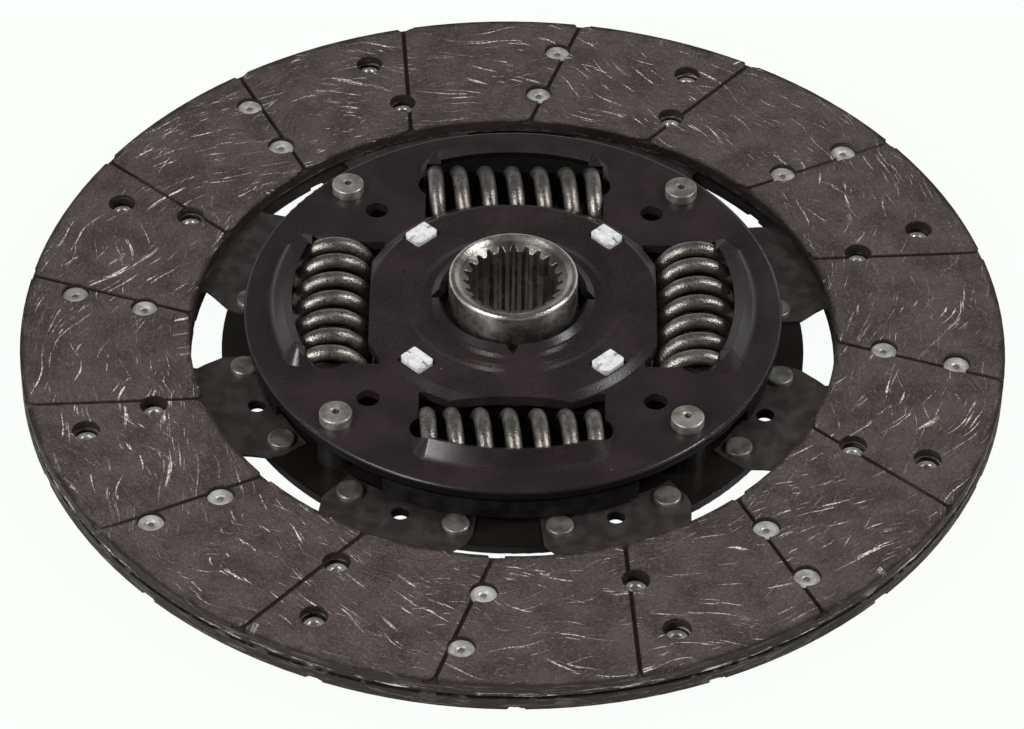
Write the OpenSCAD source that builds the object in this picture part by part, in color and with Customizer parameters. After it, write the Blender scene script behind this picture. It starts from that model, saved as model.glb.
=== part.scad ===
// Clutch disc with a four-spring torsion damper and a splined hub.
// Z = 0 is the plane that the disc lies on, and +Z points to the hub's long nose.

/* [Friction facings] */
// Outer diameter of the friction facings
facing_od = 240; // [236:1:250]
// Inner diameter of the friction facings
facing_id = 157.5; // [154:0.5:162]
// Thickness of one facing
facing_t = 3.3; // [3:0.1:3.8]
// Space that the cushion segments keep between the two facings
cushion_gap = 1; // [0.8:0.05:1.3]
// Number of grooves in each facing
groove_count = 16; // [8:8:32]
// Width of a groove
groove_w = 1.1; // [0.6:0.1:2]
// Depth of a groove
groove_depth = 0.8; // [0.4:0.1:1.2]
// Direction in which a groove starts at the inner edge, in degrees
groove_start = -2.7; // [-5:0.1:0]
// Direction in which a groove leaves at the outer edge, in degrees
groove_end = -8.1; // [-11:0.1:-5]
// Radius of the round corners at both ends of a groove
groove_corner = 2; // [0.8:0.1:2.6]

/* [Facing rivets] */
// Distance of the inner ring of rivets from the facing's inner edge
inner_ring_inset = 11.85; // [10.5:0.05:13]
// Distance of the outer ring of rivets from the facing's outer edge
outer_ring_inset = 11.7; // [10.5:0.1:13]
// Direction of the first inner rivet of the front facing, in degrees
rivet_start = -3.75; // [-4.5:0.05:-3]
// How far an outer rivet is turned from its inner neighbour, in degrees
rivet_lean = 1.95; // [1:0.05:2.6]
// Diameter of a rivet head
rivet_head_d = 6.5; // [5.6:0.1:7]
// Thickness of a rivet head
rivet_head_t = 0.8; // [0.5:0.1:1.1]
// How deep the heads lie below the friction face
rivet_sink = 1.15; // [0.8:0.05:1.3]
// Diameter of a rivet shank
rivet_shank_d = 4; // [3.4:0.1:4.4]
// Diameter of the rolled tail of a rivet
rivet_tail_d = 5.6; // [5:0.1:6]
// Thickness of the rolled tail
rivet_tail_t = 0.6; // [0.4:0.1:0.8]
// Diameter of the hole that clears the tails of the other facing's rivets
tail_hole_d = 6.7; // [6.4:0.1:7.4]
// Diameter of the hollow in a rivet's tail
rivet_hollow_d = 2.6; // [1.8:0.1:3]

/* [Cushion segments] */
// Thickness of the spring steel sheet of a segment
segment_t = 0.6; // [0.5:0.05:0.7]
// How far the segments end inside the facing's outer edge
segment_inset = 2.5; // [2.1:0.1:5]
// Inner radius of the segments, on the drive plate
segment_inner_r = 61.6; // [60.5:0.1:62.2]
// Half of a segment's neck where it lies on the drive plate, in degrees
neck_half = 15.6; // [15:0.1:16.6]
// Half of the neck at its narrow place, in degrees
waist_half = 12; // [11:0.1:13]
// Distance of the narrow place from the facing's inner edge
waist_inset = 1.25; // [0:0.25:3]
// Gap between neighbouring paddles, in degrees
paddle_gap = 0.8; // [0.5:0.1:1.4]
// Distance from the facing's inner edge at which the paddle widens to its full arc
paddle_inset = 7.25; // [5.5:0.25:8]

/* [Segment rivets] */
// Radius of the ring of segment rivets
segment_rivet_r = 66.2; // [65.8:0.1:66.6]
// Turn of a segment rivet from the middle of the neck, in degrees
segment_rivet_turn = 11.9; // [11:0.1:12.2]
// Diameter of a segment rivet's head
segment_head_d = 6.6; // [6:0.1:7]
// Height of a segment rivet's head
segment_head_h = 1.2; // [0.8:0.1:1.6]
// Diameter of a segment rivet's shank
segment_shank_d = 4.6; // [4:0.1:5]
// Diameter of the small hole through segment and drive plate
small_hole_d = 4.4; // [3.6:0.1:4.8]

/* [Damper plates] */
// Thickness of the sheet of both damper plates
plate_t = 2.5; // [2.2:0.1:2.8]
// Distance between the facing sides of the two plates
plate_gap = 9.8; // [9.4:0.1:10.2]
// How far the front friction face lies behind the damper's middle plane
face_drop = 0.34; // [0:0.02:0.6]
// Outer radius of the cover plate
cover_r = 65.5; // [65:0.1:67.5]
// Outer radius of the drive plate
drive_r = 71.2; // [70.6:0.1:72]
// Radius of the cover plate's rounded outer edge
edge_round = 1.1; // [0.6:0.1:1.4]
// Radius of the drive plate's rounded outer edge
drive_edge_round = 0.3; // [0.2:0.1:1]
// Radius of the ring of plain holes
plain_hole_ring_r = 48.3; // [47.9:0.1:48.8]
// Diameter of a plain hole
plain_hole_d = 5.7; // [5:0.1:6.2]

/* [Cover platform] */
// Radius at which the raised platform starts
platform_r = 37.7; // [37.2:0.1:38.2]
// Height of the platform above the cover plate
platform_h = 1.8; // [1.4:0.1:2]
// Width of the slope around the platform
platform_slope = 2.8; // [2.4:0.1:3.2]
// Outer radius of the shallow ring pressed into the platform
press_outer_r = 26.8; // [26.4:0.1:27.2]
// Inner radius of the shallow ring
press_inner_r = 21.9; // [21.6:0.1:22.3]
// Depth of the shallow ring
press_depth = 0.4; // [0.2:0.05:0.5]
// Radius at which the collar of the centre hole starts to rise
collar_r = 20; // [19.8:0.1:20.4]
// Height of the collar above the platform
collar_h = 1.3; // [0.8:0.1:1.6]
// Radius of the centre hole
centre_hole_r = 18.1; // [17.8:0.1:18.6]
// Radius that the four notches of the centre hole reach
notch_r = 20.2; // [20:0.1:20.8]
// Half of the opening angle of a notch, in degrees
notch_half_angle = 36; // [30:1:44]

/* [Spring windows] */
// Gap between a spring's end and the end of its window
window_end_gap = 0.15; // [0.1:0.05:0.4]
// Radius of the straight inner edge of a cover window
window_inner_r = 34.8; // [34.6:0.05:34.9]
// Radius of the inner corners of a window, beside the platform
window_corner_r = 31.8; // [31.4:0.1:32.2]
// Width of the round recess at each end of a window
recess_w = 8.2; // [7:0.1:9]
// Depth of the recess
recess_depth = 1.9; // [1.4:0.1:2.6]
// Height of the hood over a window
hood_h = 4.4; // [4:0.1:4.8]
// Distance of a hood's edge from the outer side of the spring
hood_gap = 0.9; // [0.6:0.1:1.4]
// How far a hood leans inward over its height
hood_lean = 3.3; // [2.8:0.1:3.8]
// Radius of the round corners of a hood, at its base
hood_corner = 5; // [4.6:0.1:5.6]

/* [Damper springs] */
// Outer diameter of a spring
spring_od = 21; // [20.2:0.1:21.2]
// Diameter of the spring wire
spring_wire = 4; // [3.4:0.1:4.2]
// Length of a spring in its window
spring_length = 44; // [43.6:0.1:44.2]
// Number of half turns between the closed end turns
spring_half_turns = 11; // [9:2:11]
// Distance of a spring's axis from the disc's axis
spring_axis_r = 44.3; // [44.2:0.05:44.6]
// Rise of the closed end turns, for each turn
end_rise = 4.2; // [4.1:0.05:4.4]
// How much is ground from each end of a spring
end_grind = 0.8; // [0.5:0.1:1.2]

/* [Hub] */
// Outer radius of the hub sleeve
hub_r = 15.65; // [15.3:0.05:15.7]
// Height of the hub's nose above the front friction face
nose_h = 17.3; // [15:0.1:22]
// How high the hub's rear end lies above the resting plane
hub_rear_z = 1; // [0.4:0.1:3]
// Number of spline teeth
spline_teeth = 23; // [17:1:26]
// Radius at the bottom of the spline's tooth spaces
spline_major_r = 12.1; // [11.9:0.05:12.4]
// Radius at the tips of the spline teeth
spline_minor_r = 10.75; // [10.5:0.05:11]
// Outer radius of the lead-in cone at the hub's nose
lead_in_r = 14.3; // [13.6:0.1:14.6]
// Angle of the lead-in cone against the end face, in degrees
lead_in_angle = 32; // [25:1:45]
// Radius of the rounded edge of the nose
nose_round = 1; // [0.6:0.1:1.1]
// Thickness of the hub flange
flange_t = 5; // [4.6:0.1:5.2]
// Outer radius of the hub flange
flange_r = 64; // [63.4:0.1:64.6]
// Root radius of the coupling teeth between sleeve and flange
coupling_root_r = 18.6; // [18.2:0.1:19]
// Tip radius of the coupling teeth
coupling_tip_r = 20.8; // [20.4:0.1:21]
// Number of coupling teeth
coupling_teeth = 16; // [12:2:20]
// Width of a coupling tooth
coupling_tooth_w = 3.4; // [2.8:0.1:3.8]
// Greatest turn of the hub to each side, in degrees
twist_max = 12; // [8:0.5:12.5]

/* [Stop pins] */
// Radius of the ring of stop pins
pin_ring_r = 58.8; // [58.4:0.1:59.2]
// Diameter of a pin's body between the plates
pin_d = 9; // [8.4:0.1:9.4]
// Diameter of a pin's shouldered end in the plate
pin_end_d = 6.4; // [5.8:0.1:7]
// Diameter of a pin's head
pin_head_d = 7.9; // [7.4:0.1:8.4]
// Height of a pin's head
pin_head_h = 2.5; // [2:0.1:2.8]
// Diameter of the dimple in a pin's head
pin_dimple_d = 1.6; // [1:0.1:2]

/* [Friction parts] */
// Thickness of the front friction ring
ring_t = 2; // [1.8:0.05:2.1]
// Outer radius of the front friction ring
ring_r = 31.2; // [30.6:0.1:31.4]
// Distance of the ring's tabs from the disc's axis
tab_ring_r = 32.3; // [32:0.1:32.4]
// Width of a tab along the circumference
tab_w = 7.2; // [6.4:0.1:7.6]
// Width of a tab along the radius
tab_d = 5.4; // [5:0.1:5.6]
// How far a tab stands above the platform
tab_h = 1.2; // [0.8:0.1:1.6]
// Thickness of the support washer
washer_t = 0.8; // [0.6:0.05:0.9]
// Outer radius of the support washer and of the diaphragm spring
washer_r = 28.8; // [28.2:0.1:29.2]
// Thickness of the diaphragm spring's sheet
diaphragm_t = 0.6; // [0.5:0.05:0.7]
// Outer radius of the rear friction bush's flange
bush_r = 30; // [28:0.5:31]
// Outer radius of the bush's sleeve in the drive plate
bush_sleeve_r = 18.9; // [18.6:0.1:19.2]

/* [Hidden] */

$fn = 96;

// Clearance of a fit between two pieces that don't move on each other
fit = 0.05;
// Clearance of a running fit
running = 0.08;
// Clearance around a sunk rivet head
head_gap = 0.1;
// Clearance of a tab in its slot
slot_gap = 0.15;
// How far a cutting shape reaches past what it cuts, in a small and in a large cut
cut = 1;
overrun = 3;
// How much a rib over a seam of a bent piece stands out
seam = 0.02;
// Number of straight steps in a small bend of a section
bend_steps = 5;
// Spring windows, stop pins and tabs stand in four places around the disc
quarter = 90;
quarters = [0 : 3];
diagonal = 45;
// Segments stand in eight places around the disc
segment_count = 8;
segment_step = 360 / segment_count;
segments = [0 : segment_count - 1];
// Direction of the first segment's neck
segment_start = 22;

// Levels along the axis
mid_z = hood_h + plate_t + plate_gap / 2;
drive_top = mid_z - plate_gap / 2;
drive_bottom = drive_top - plate_t;
cover_bottom = mid_z + plate_gap / 2;
cover_top = cover_bottom + plate_t;
platform_top = cover_top + platform_h;
platform_bottom = cover_bottom + platform_h;
face_z = mid_z - face_drop;
facing_bottom = face_z - facing_t;
facings_mid = facing_bottom - cushion_gap / 2;
flange_top = mid_z + flange_t / 2;
flange_bottom = mid_z - flange_t / 2;
nose_z = face_z + nose_h;

// Friction facings
facing_r = facing_od / 2;
facing_inner_r = facing_id / 2;
inner_ring_r = facing_inner_r + inner_ring_inset;
outer_ring_r = facing_r - outer_ring_inset;
groove_step = 360 / groove_count;
rivet_step = segment_step / 2;
head_seat_z = face_z - rivet_sink - rivet_head_t;
// Turn of the rear facing, which is the front facing laid face down
rear_turn = rivet_step + 2 * rivet_start;

// Cushion segments, with the middle of a paddle between four rivets of each facing
segment_r = facing_r - segment_inset;
waist_r = facing_inner_r - waist_inset;
paddle_r = facing_inner_r + paddle_inset;
paddle_turn = rivet_start + 1.5 * rivet_step - segment_start;
segment_low = facings_mid - cushion_gap / 2;
segment_high = facings_mid + cushion_gap / 2 - segment_t;
segment_middle = (segment_low + segment_high) / 2;
paddle_half = segment_step / 2 - paddle_gap / 2;
rivet_offset = inner_ring_r * sin(rivet_step / 2);
pad_half = 9;
wave_slope = 4;

// Stop pins and the lobes of the hub flange
pin_half_angle = asin((pin_d / 2 + fit) / pin_ring_r);
stop_margin = 0.5;
lobe_half = diagonal - pin_half_angle - twist_max - stop_margin;
notch_floor_gap = 1.6;
notch_floor_r = pin_ring_r - pin_d / 2 - notch_floor_gap;

// Springs and their windows
window_half = spring_length / 2 + window_end_gap;
hood_edge_r = spring_axis_r + spring_od / 2 + hood_gap;
hood_base_r = hood_edge_r + hood_lean;
coil_r = (spring_od - spring_wire) / 2;
closed_height = 2 * end_rise - 2 * end_grind;
active_step = (spring_length - closed_height) / spring_half_turns;
half_turn_rises = concat(
  [end_rise / 2, end_rise / 2],
  [for (i = [1 : spring_half_turns]) active_step],
  [end_rise / 2, end_rise / 2]
);
coil_clearance = 0.35;

drive_window_r = spring_axis_r - spring_od / 2 - hood_gap;

// Friction parts
ring_bottom = flange_top + fit;
ring_top = ring_bottom + ring_t;
washer_top = ring_top + washer_t;
washer_gap = 1;
washer_inner_r = coupling_tip_r + washer_gap;
diaphragm_top = platform_bottom - press_depth - fit;

// Vector helpers for sections of bent sheet
function unit(v) = v / norm(v);
function left_of(v) = [-v[1], v[0]];
function turn_of(a, b) = a[0] * b[1] - a[1] * b[0];

// Corner i of a path, moved to the left by d
function moved_corner(p, i, d) =
  let (last = len(p) - 1)
  let (a = i > 0 ? left_of(unit(p[i] - p[i - 1])) : left_of(unit(p[1] - p[0])))
  let (b = i < last ? left_of(unit(p[i + 1] - p[i])) : a)
  p[i] + d * (a + b) / (1 + a * b);

function moved_path(p, d) = [for (i = [0 : len(p) - 1]) moved_corner(p, i, d)];

// Points of a bend of radius r at corner i of a path
function bend(p, i, r) =
  let (a = unit(p[i - 1] - p[i]))
  let (b = unit(p[i + 1] - p[i]))
  let (half = acos(a * b) / 2)
  let (reach = r / tan(half))
  let (centre = p[i] + unit(a + b) * r / sin(half))
  let (from = p[i] + a * reach - centre)
  let (side = turn_of(a, b) > 0 ? -1 : 1)
  let (sweep = side * (180 - 2 * half))
  [for (k = [0 : bend_steps])
    let (t = sweep * k / bend_steps)
    centre + [from[0] * cos(t) - from[1] * sin(t), from[0] * sin(t) + from[1] * cos(t)]];

// A path with bends, where r lists the radius at each inner corner
function bent_path(p, r) = [
  p[0],
  for (i = [1 : len(p) - 2]) each bend(p, i, r[i - 1]),
  p[len(p) - 1]
];

// Section of a sheet of thickness t that lies to the left of path p
function sheet_section(p, r, t) =
  let (q = moved_path(p, t))
  let (s = [for (i = [1 : len(p) - 2])
    turn_of(p[i] - p[i - 1], p[i + 1] - p[i]) > 0 ? max(r[i - 1] - t, 0.2) : r[i - 1] + t])
  let (far = bent_path(q, s))
  concat(bent_path(p, r), [for (i = [len(far) - 1 : -1 : 0]) far[i]]);

function polar(r, a) = [r * cos(a), r * sin(a)];

// Rings and discs made by turning a section
module ring(inner, outer, bottom, top) {
  rotate_extrude()
    translate([inner, bottom])
      square([outer - inner, top - bottom]);
}

// A flat disc with a rounded upper outer edge
module rounded_disc(r, t, edge) {
  rotate_extrude() {
    square([r - edge, t]);
    square([r, t - edge]);
    translate([r - edge, t - edge])
      intersection() {
        circle(r = edge);
        square(edge);
      }
  }
}

// Plan of one groove, with round corners where it meets the two edges of the facing
module groove_plan() {
  start = polar(facing_inner_r, groove_start);
  finish = polar(facing_r, groove_end);
  along = finish - start;
  length = norm(along);
  half = groove_w / 2;
  corner = groove_corner;
  translate(start)
    rotate(atan2(along[1], along[0])) {
      translate([-overrun, -half])
        square([length + 2 * overrun, groove_w]);
      for (end = [0, 1])
        translate([end * length, 0])
          mirror([end, 0])
            difference() {
              translate([-overrun, -half - corner])
                square([corner + overrun, groove_w + 2 * corner]);
              for (side = [-1, 1])
                translate([corner, side * (half + corner)])
                  circle(r = corner);
            }
    }
}

// The four holes that one facing has for each of its own rivets and for the other's
module rivet_places(first, lean) {
  for (i = segments)
    rotate(first + i * segment_step) {
      translate([inner_ring_r, 0])
        children();
      rotate(lean)
        translate([outer_ring_r, 0])
          children();
    }
}

module facing() {
  difference() {
    ring(facing_inner_r, facing_r, facing_bottom, face_z);
    translate([0, 0, face_z - groove_depth])
      linear_extrude(groove_depth + cut)
        for (i = [0 : groove_count - 1])
          rotate(i * groove_step)
            groove_plan();
    rivet_places(rivet_start, -rivet_lean) {
      translate([0, 0, facing_bottom - cut])
        cylinder(d = rivet_shank_d + 2 * fit, h = facing_t + 2 * cut);
      translate([0, 0, head_seat_z])
        cylinder(d = rivet_head_d + 2 * head_gap, h = facing_t);
    }
    rivet_places(rivet_start + rivet_step, rivet_lean)
      translate([0, 0, facing_bottom - cut])
        cylinder(d = tail_hole_d, h = facing_t + 2 * cut);
  }
}

// Lays a piece of the front half face down, in its place in the rear half
module laid_face_down() {
  rotate(rear_turn)
    translate([0, 0, 2 * facings_mid])
      rotate([180, 0, 0])
        children();
}

module front_facing() {
  color("#4d4541") facing();
}

module rear_facing() {
  color("#463f3b")
    laid_face_down()
      facing();
}

// One tubular rivet: flat head with a stamped ring, and a rolled hollow tail
module facing_rivet() {
  head = rivet_head_d / 2;
  shank = rivet_shank_d / 2;
  tail = rivet_tail_d / 2;
  hollow = rivet_hollow_d / 2;
  head_top = head_seat_z + rivet_head_t;
  tail_top = segment_high;
  tail_end = tail_top - rivet_tail_t;
  stamp_depth = 0.25;
  stamp_inner = 0.6;
  stamp_outer = 1.6;
  edge = 0.2;
  roll = 0.3;
  rotate_extrude($fn = 32)
    polygon([
      [0, head_top], [stamp_inner, head_top], [stamp_inner + edge, head_top - stamp_depth],
      [stamp_outer - edge, head_top - stamp_depth], [stamp_outer, head_top],
      [head - edge, head_top], [head, head_top - edge], [head, head_seat_z], [shank, head_seat_z],
      [shank, tail_top], [tail, tail_top], [tail, tail_top - roll], [tail - roll, tail_end],
      [hollow + roll, tail_end], [hollow, tail_end + roll], [hollow, facing_bottom],
      [0, facing_bottom + roll]
    ]);
}

module front_facing_rivets() {
  color("#b9b9b6")
    rivet_places(rivet_start, -rivet_lean)
      facing_rivet();
}

module rear_facing_rivets() {
  color("#b9b9b6")
    laid_face_down()
      rivet_places(rivet_start, -rivet_lean)
        facing_rivet();
}

// Plan of a segment, with the middle of its neck along +X
module segment_plan() {
  far = segment_r * 1.2;
  start = segment_inner_r * 0.8;
  lower = paddle_turn - paddle_half;
  upper = paddle_turn + paddle_half;
  flare = 3;
  cant = 0.8;
  difference() {
    intersection() {
      circle(r = segment_r, $fn = 180);
      polygon([
        polar(start, -neck_half), polar(drive_r, -neck_half),
        polar(waist_r, -waist_half - cant), polar(paddle_r - flare, lower), polar(far, lower),
        polar(far, paddle_turn), polar(far, upper),
        polar(paddle_r, upper), polar(waist_r + flare, waist_half), polar(waist_r, waist_half - cant),
        polar(drive_r, neck_half - cant), polar(drive_r - flare, neck_half), polar(start, neck_half)
      ]);
    }
    circle(r = segment_inner_r);
    for (side = [-1, 1])
      rotate(side * segment_rivet_turn)
        translate([segment_rivet_r, 0])
          circle(d = segment_shank_d + 2 * fit);
    translate([segment_rivet_r, 0])
      circle(d = small_hole_d);
    for (pad = [-1, 1])
      for (place = [[inner_ring_r, rivet_step / 2], [outer_ring_r, rivet_step / 2 - rivet_lean]])
        rotate(paddle_turn + pad * place[1])
          translate([place[0], 0])
            circle(d = rivet_shank_d + 2 * fit);
  }
}

// The neck lies on the drive plate and bends up to the middle of the paddle's wave
module neck_sheet() {
  step_start = drive_r + 0.6;
  step_l = 3.5;
  step_bend = 3;
  rotate_extrude($fn = 180)
    polygon(sheet_section(
      [[segment_inner_r - cut, drive_top], [step_start, drive_top],
       [step_start + step_l, segment_middle], [paddle_r - 1, segment_middle]],
      [step_bend, step_bend], segment_t));
}

// Waved sheet of the paddle: one pad bears on the front facing and the other on the rear facing
module paddle_sheet() {
  start = paddle_r - overrun - cut;
  low = segment_low;
  high = segment_high;
  outer = rivet_offset + pad_half;
  inner = rivet_offset - pad_half;
  wave = [
    [-segment_r, high], [-outer - wave_slope, high], [-outer, low], [-inner, low],
    [inner, high], [outer, high], [outer + wave_slope, low], [segment_r, low]
  ];
  rotate(paddle_turn)
    translate([start, 0, 0])
      rotate([90, 0, 90])
        linear_extrude(segment_r + overrun - start)
          polygon(concat(wave, [for (i = [len(wave) - 1 : -1 : 0]) wave[i] + [0, segment_t]]));
}

module cushion_segment(i) {
  color("#3d3c3e")
    rotate(segment_start + i * segment_step)
      intersection() {
        translate([0, 0, drive_top - cut])
          linear_extrude(cushion_gap + segment_t + 3 * cut)
            segment_plan();
        union() {
          neck_sheet();
          paddle_sheet();
        }
      }
}

// Rivets that hold the necks of the segments on the drive plate
module segment_rivet() {
  seat = drive_top + segment_t;
  head = segment_head_d / 2;
  shank = segment_shank_d / 2;
  round_r = 0.5;
  for (end = [[seat, 1], [drive_bottom, -1]])
    translate([0, 0, end[0]])
      mirror([0, 0, end[1] > 0 ? 0 : 1])
        rounded_disc(head, segment_head_h, round_r);
  translate([0, 0, drive_bottom])
    cylinder(r = shank, h = seat - drive_bottom);
}

module segment_rivets() {
  color("#77787a")
    for (i = segments)
      for (side = [-1, 1])
        rotate(segment_start + i * segment_step + side * segment_rivet_turn)
          translate([segment_rivet_r, 0, 0])
            segment_rivet($fn = 32);
}

// Places of a hood's parts: middle of a round corner, and where it meets the long arc
hood_corner_lip = hood_corner - hood_lean;
hood_middle_r = hood_base_r - hood_corner;
hood_middle_y = window_half + coil_clearance + cut - hood_corner;
hood_corner_angle = asin(hood_middle_y / hood_middle_r);
hood_middle_x = hood_middle_r * cos(hood_corner_angle);
// Where the end of a hood has run down to the plate
hood_end_x = spring_axis_r + overrun;

// Section of a hood's arc, in a frame where the plate's outer side is at height 0
module hood_section(grow) {
  foot = 3;
  foot_bend = 3;
  slope = unit([-hood_lean, hood_h]);
  polygon(sheet_section(
    [[hood_edge_r, hood_h] + (slope - left_of(slope)) * grow, [hood_base_r + grow, grow],
     [hood_base_r + foot, grow]],
    [foot_bend], -plate_t - 2 * grow));
}

// Section of a hood's end, which fills the corner as far as the spring lets it
module hood_end_section(grow) {
  foot = 0.6;
  axis = 0.05;
  polygon([
    [axis - grow, -plate_t], [hood_corner + foot + grow, -plate_t],
    [hood_corner + foot + grow, grow], [hood_corner + grow, grow],
    [hood_corner_lip + grow, hood_h + grow], [axis - grow, hood_h + grow]
  ]);
}

// End of a hood: a round corner, and a straight web that runs down to the plate
module hood_end() {
  overlap = 0.35;
  trim = asin(overlap / 2 / hood_corner);
  lip_x = hood_edge_r * cos(hood_corner_angle);
  difference() {
    union() {
      translate([hood_middle_x, hood_middle_y, 0])
        rotate(hood_corner_angle + trim)
          rotate_extrude(angle = 90 - hood_corner_angle - trim, $fn = 72)
            hood_end_section(0);
      translate([hood_middle_x + overlap, hood_middle_y, 0])
        rotate([90, 0, -90])
          mirror([1, 0, 0])
            linear_extrude(hood_middle_x + overlap - hood_end_x)
              hood_end_section(seam);
    }
    translate([hood_end_x, 0, 0])
      rotate([0, -atan2(hood_h, lip_x - hood_end_x), 0])
        translate([-hood_base_r, 0, 0])
          cube([2 * hood_base_r, 2 * window_half, 2 * hood_h]);
  }
}

// One hood on a plate whose outer side is at height 0
module hood() {
  overlap = 0.35;
  trim = asin(overlap / 2 / hood_base_r);
  rotate(trim - hood_corner_angle)
    rotate_extrude(angle = 2 * (hood_corner_angle - trim), $fn = 180)
      hood_section(0);
  for (side = [0, 1])
    mirror([0, side, 0]) {
      hood_end();
      rotate(hood_corner_angle)
        rotate([90, 0, 0])
          linear_extrude(2 * overlap, center = true)
            hood_section(seam);
    }
}

module hoods() {
  for (i = quarters)
    rotate(i * quarter)
      hood();
}

// Space that a plate keeps free around the outer half of each spring
module spring_space() {
  clear_r = spring_od / 2 + coil_clearance;
  for (i = quarters)
    rotate(i * quarter)
      translate([spring_axis_r, 0, mid_z])
        rotate([90, 0, 0])
          intersection() {
            cylinder(r = clear_r, h = 2 * window_half, center = true);
            translate([0, -2 * clear_r, -2 * window_half])
              cube([2 * clear_r, 4 * clear_r, 4 * window_half]);
          }
}

// Plan of the opening of one window, under its hood
module window_plan(inner_r) {
  lap = 1;
  far = hood_base_r * 1.4;
  translate([inner_r, -window_half])
    square([hood_middle_x - inner_r, 2 * window_half]);
  intersection() {
    circle(r = hood_base_r - lap, $fn = 180);
    polygon([[0, 0], polar(far, hood_corner_angle), polar(far, -hood_corner_angle)]);
    translate([inner_r, -window_half * 2])
      square([hood_base_r, window_half * 4]);
  }
}

// Plan of the round recesses at the two ends of a cover window
module recess_plan() {
  for (side = [-1, 1])
    translate([spring_axis_r, side * (window_half + recess_depth - recess_w / 2)])
      circle(d = recess_w);
}

// Holes that both damper plates share
module plate_holes(bottom, top) {
  for (i = quarters)
    rotate(diagonal + i * quarter) {
      translate([plain_hole_ring_r, 0, bottom - cut])
        cylinder(d = plain_hole_d, h = top - bottom + 2 * cut);
      translate([pin_ring_r, 0, bottom - cut])
        cylinder(d = pin_end_d + 2 * fit, h = top - bottom + 2 * cut);
    }
}

// Front plate of the damper: flat rim, raised platform and collar, four hooded windows
module cover_plate() {
  lap = 1;
  press_slope = 1.6;
  foot_bend = 1.2;
  shoulder_bend = 2.7;
  small_bend = 1;
  top = [
    [platform_r + 2 * lap, cover_top], [platform_r, cover_top],
    [platform_r - platform_slope, platform_top], [press_outer_r, platform_top],
    [press_outer_r - press_slope, platform_top - press_depth],
    [press_inner_r + press_slope, platform_top - press_depth],
    [press_inner_r, platform_top], [collar_r, platform_top],
    [centre_hole_r, platform_top + collar_h]
  ];
  bends = [foot_bend, shoulder_bend, small_bend, small_bend, small_bend, small_bend, small_bend];
  color("#2b2729") {
    difference() {
      union() {
        difference() {
          translate([0, 0, cover_bottom])
            rounded_disc(cover_r, plate_t, edge_round);
          translate([0, 0, cover_bottom - cut])
            cylinder(r = platform_r + lap, h = plate_t + 2 * cut);
        }
        rotate_extrude($fn = 180)
          polygon(sheet_section(top, bends, plate_t));
      }
      for (i = quarters)
        rotate(i * quarter)
          cover_window();
      spring_space();
      plate_holes(cover_bottom, cover_top);
      centre_notches();
      tab_slots();
    }
    difference() {
      translate([0, 0, cover_top])
        hoods();
      spring_space();
    }
  }
}

// Opening of a cover window, whose inner edge follows the platform beside the spring
module cover_window() {
  difference() {
    translate([0, 0, cover_bottom - cut])
      linear_extrude(plate_t + platform_h + overrun) {
        window_plan(window_corner_r);
        recess_plan();
      }
    intersection() {
      cylinder(r = platform_r, h = platform_top + overrun + cut, $fn = 180);
      translate([0, -window_half * 2, 0])
        cube([window_inner_r, window_half * 4, platform_top + overrun + cut]);
    }
  }
}

// Four V notches in the collar of the centre hole
module centre_notches() {
  depth = 2 * (notch_r - centre_hole_r);
  for (i = quarters)
    rotate(i * quarter)
      translate([notch_r, 0, platform_bottom - 2 * cut])
        linear_extrude(plate_t + collar_h + 4 * cut)
          polygon([
            [0, 0], [-depth, depth * tan(notch_half_angle)], [-depth, -depth * tan(notch_half_angle)]
          ]);
}

module tab_slots() {
  for (i = quarters)
    rotate(diagonal + i * quarter)
      translate([tab_ring_r, 0, platform_bottom])
        cube([tab_d + 2 * slot_gap, tab_w + 2 * slot_gap, 4 * plate_t], center = true);
}

// Rear plate of the damper, which also carries the cushion segments
module drive_plate() {
  color("#2e2a2c") {
    difference() {
      translate([0, 0, drive_top])
        mirror([0, 0, 1])
          rounded_disc(drive_r, plate_t, drive_edge_round);
      for (i = quarters)
        rotate(i * quarter)
          translate([0, 0, drive_bottom - cut])
            linear_extrude(plate_t + 2 * cut)
              window_plan(drive_window_r);
      spring_space();
      plate_holes(drive_bottom, drive_top);
      translate([0, 0, drive_bottom - cut])
        cylinder(r = bush_sleeve_r + fit, h = plate_t + 2 * cut);
      for (i = segments)
        rotate(segment_start + i * segment_step) {
          translate([segment_rivet_r, 0, drive_bottom - cut])
            cylinder(d = small_hole_d, h = plate_t + 2 * cut);
          for (side = [-1, 1])
            rotate(side * segment_rivet_turn)
              translate([segment_rivet_r, 0, drive_bottom - cut])
                cylinder(d = segment_shank_d + 2 * fit, h = plate_t + 2 * cut);
        }
    }
    difference() {
      translate([0, 0, drive_bottom])
        mirror([0, 0, 1])
          hoods();
      spring_space();
    }
  }
}

// Round body with straight radial teeth, for the coupling of sleeve and flange
module toothed_plan(grow) {
  circle(r = coupling_root_r + grow);
  intersection() {
    circle(r = coupling_tip_r + grow);
    for (i = [0 : coupling_teeth - 1])
      rotate(i * 360 / coupling_teeth)
        translate([0, -coupling_tooth_w / 2 - grow])
          square([coupling_tip_r + cut, coupling_tooth_w + 2 * grow]);
  }
}

// Plan of the splined bore
module spline_plan() {
  flank_angle = 30;
  lap = 0.6;
  space = PI * (spline_major_r + spline_minor_r) / spline_teeth / 2;
  taper = (spline_major_r - spline_minor_r) * tan(flank_angle);
  circle(r = spline_minor_r);
  for (i = [0 : spline_teeth - 1])
    rotate(quarter + i * 360 / spline_teeth)
      polygon([
        [spline_minor_r - lap, -(space + taper) / 2], [spline_major_r, -(space - taper) / 2],
        [spline_major_r, (space - taper) / 2], [spline_minor_r - lap, (space + taper) / 2]
      ]);
}

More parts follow.
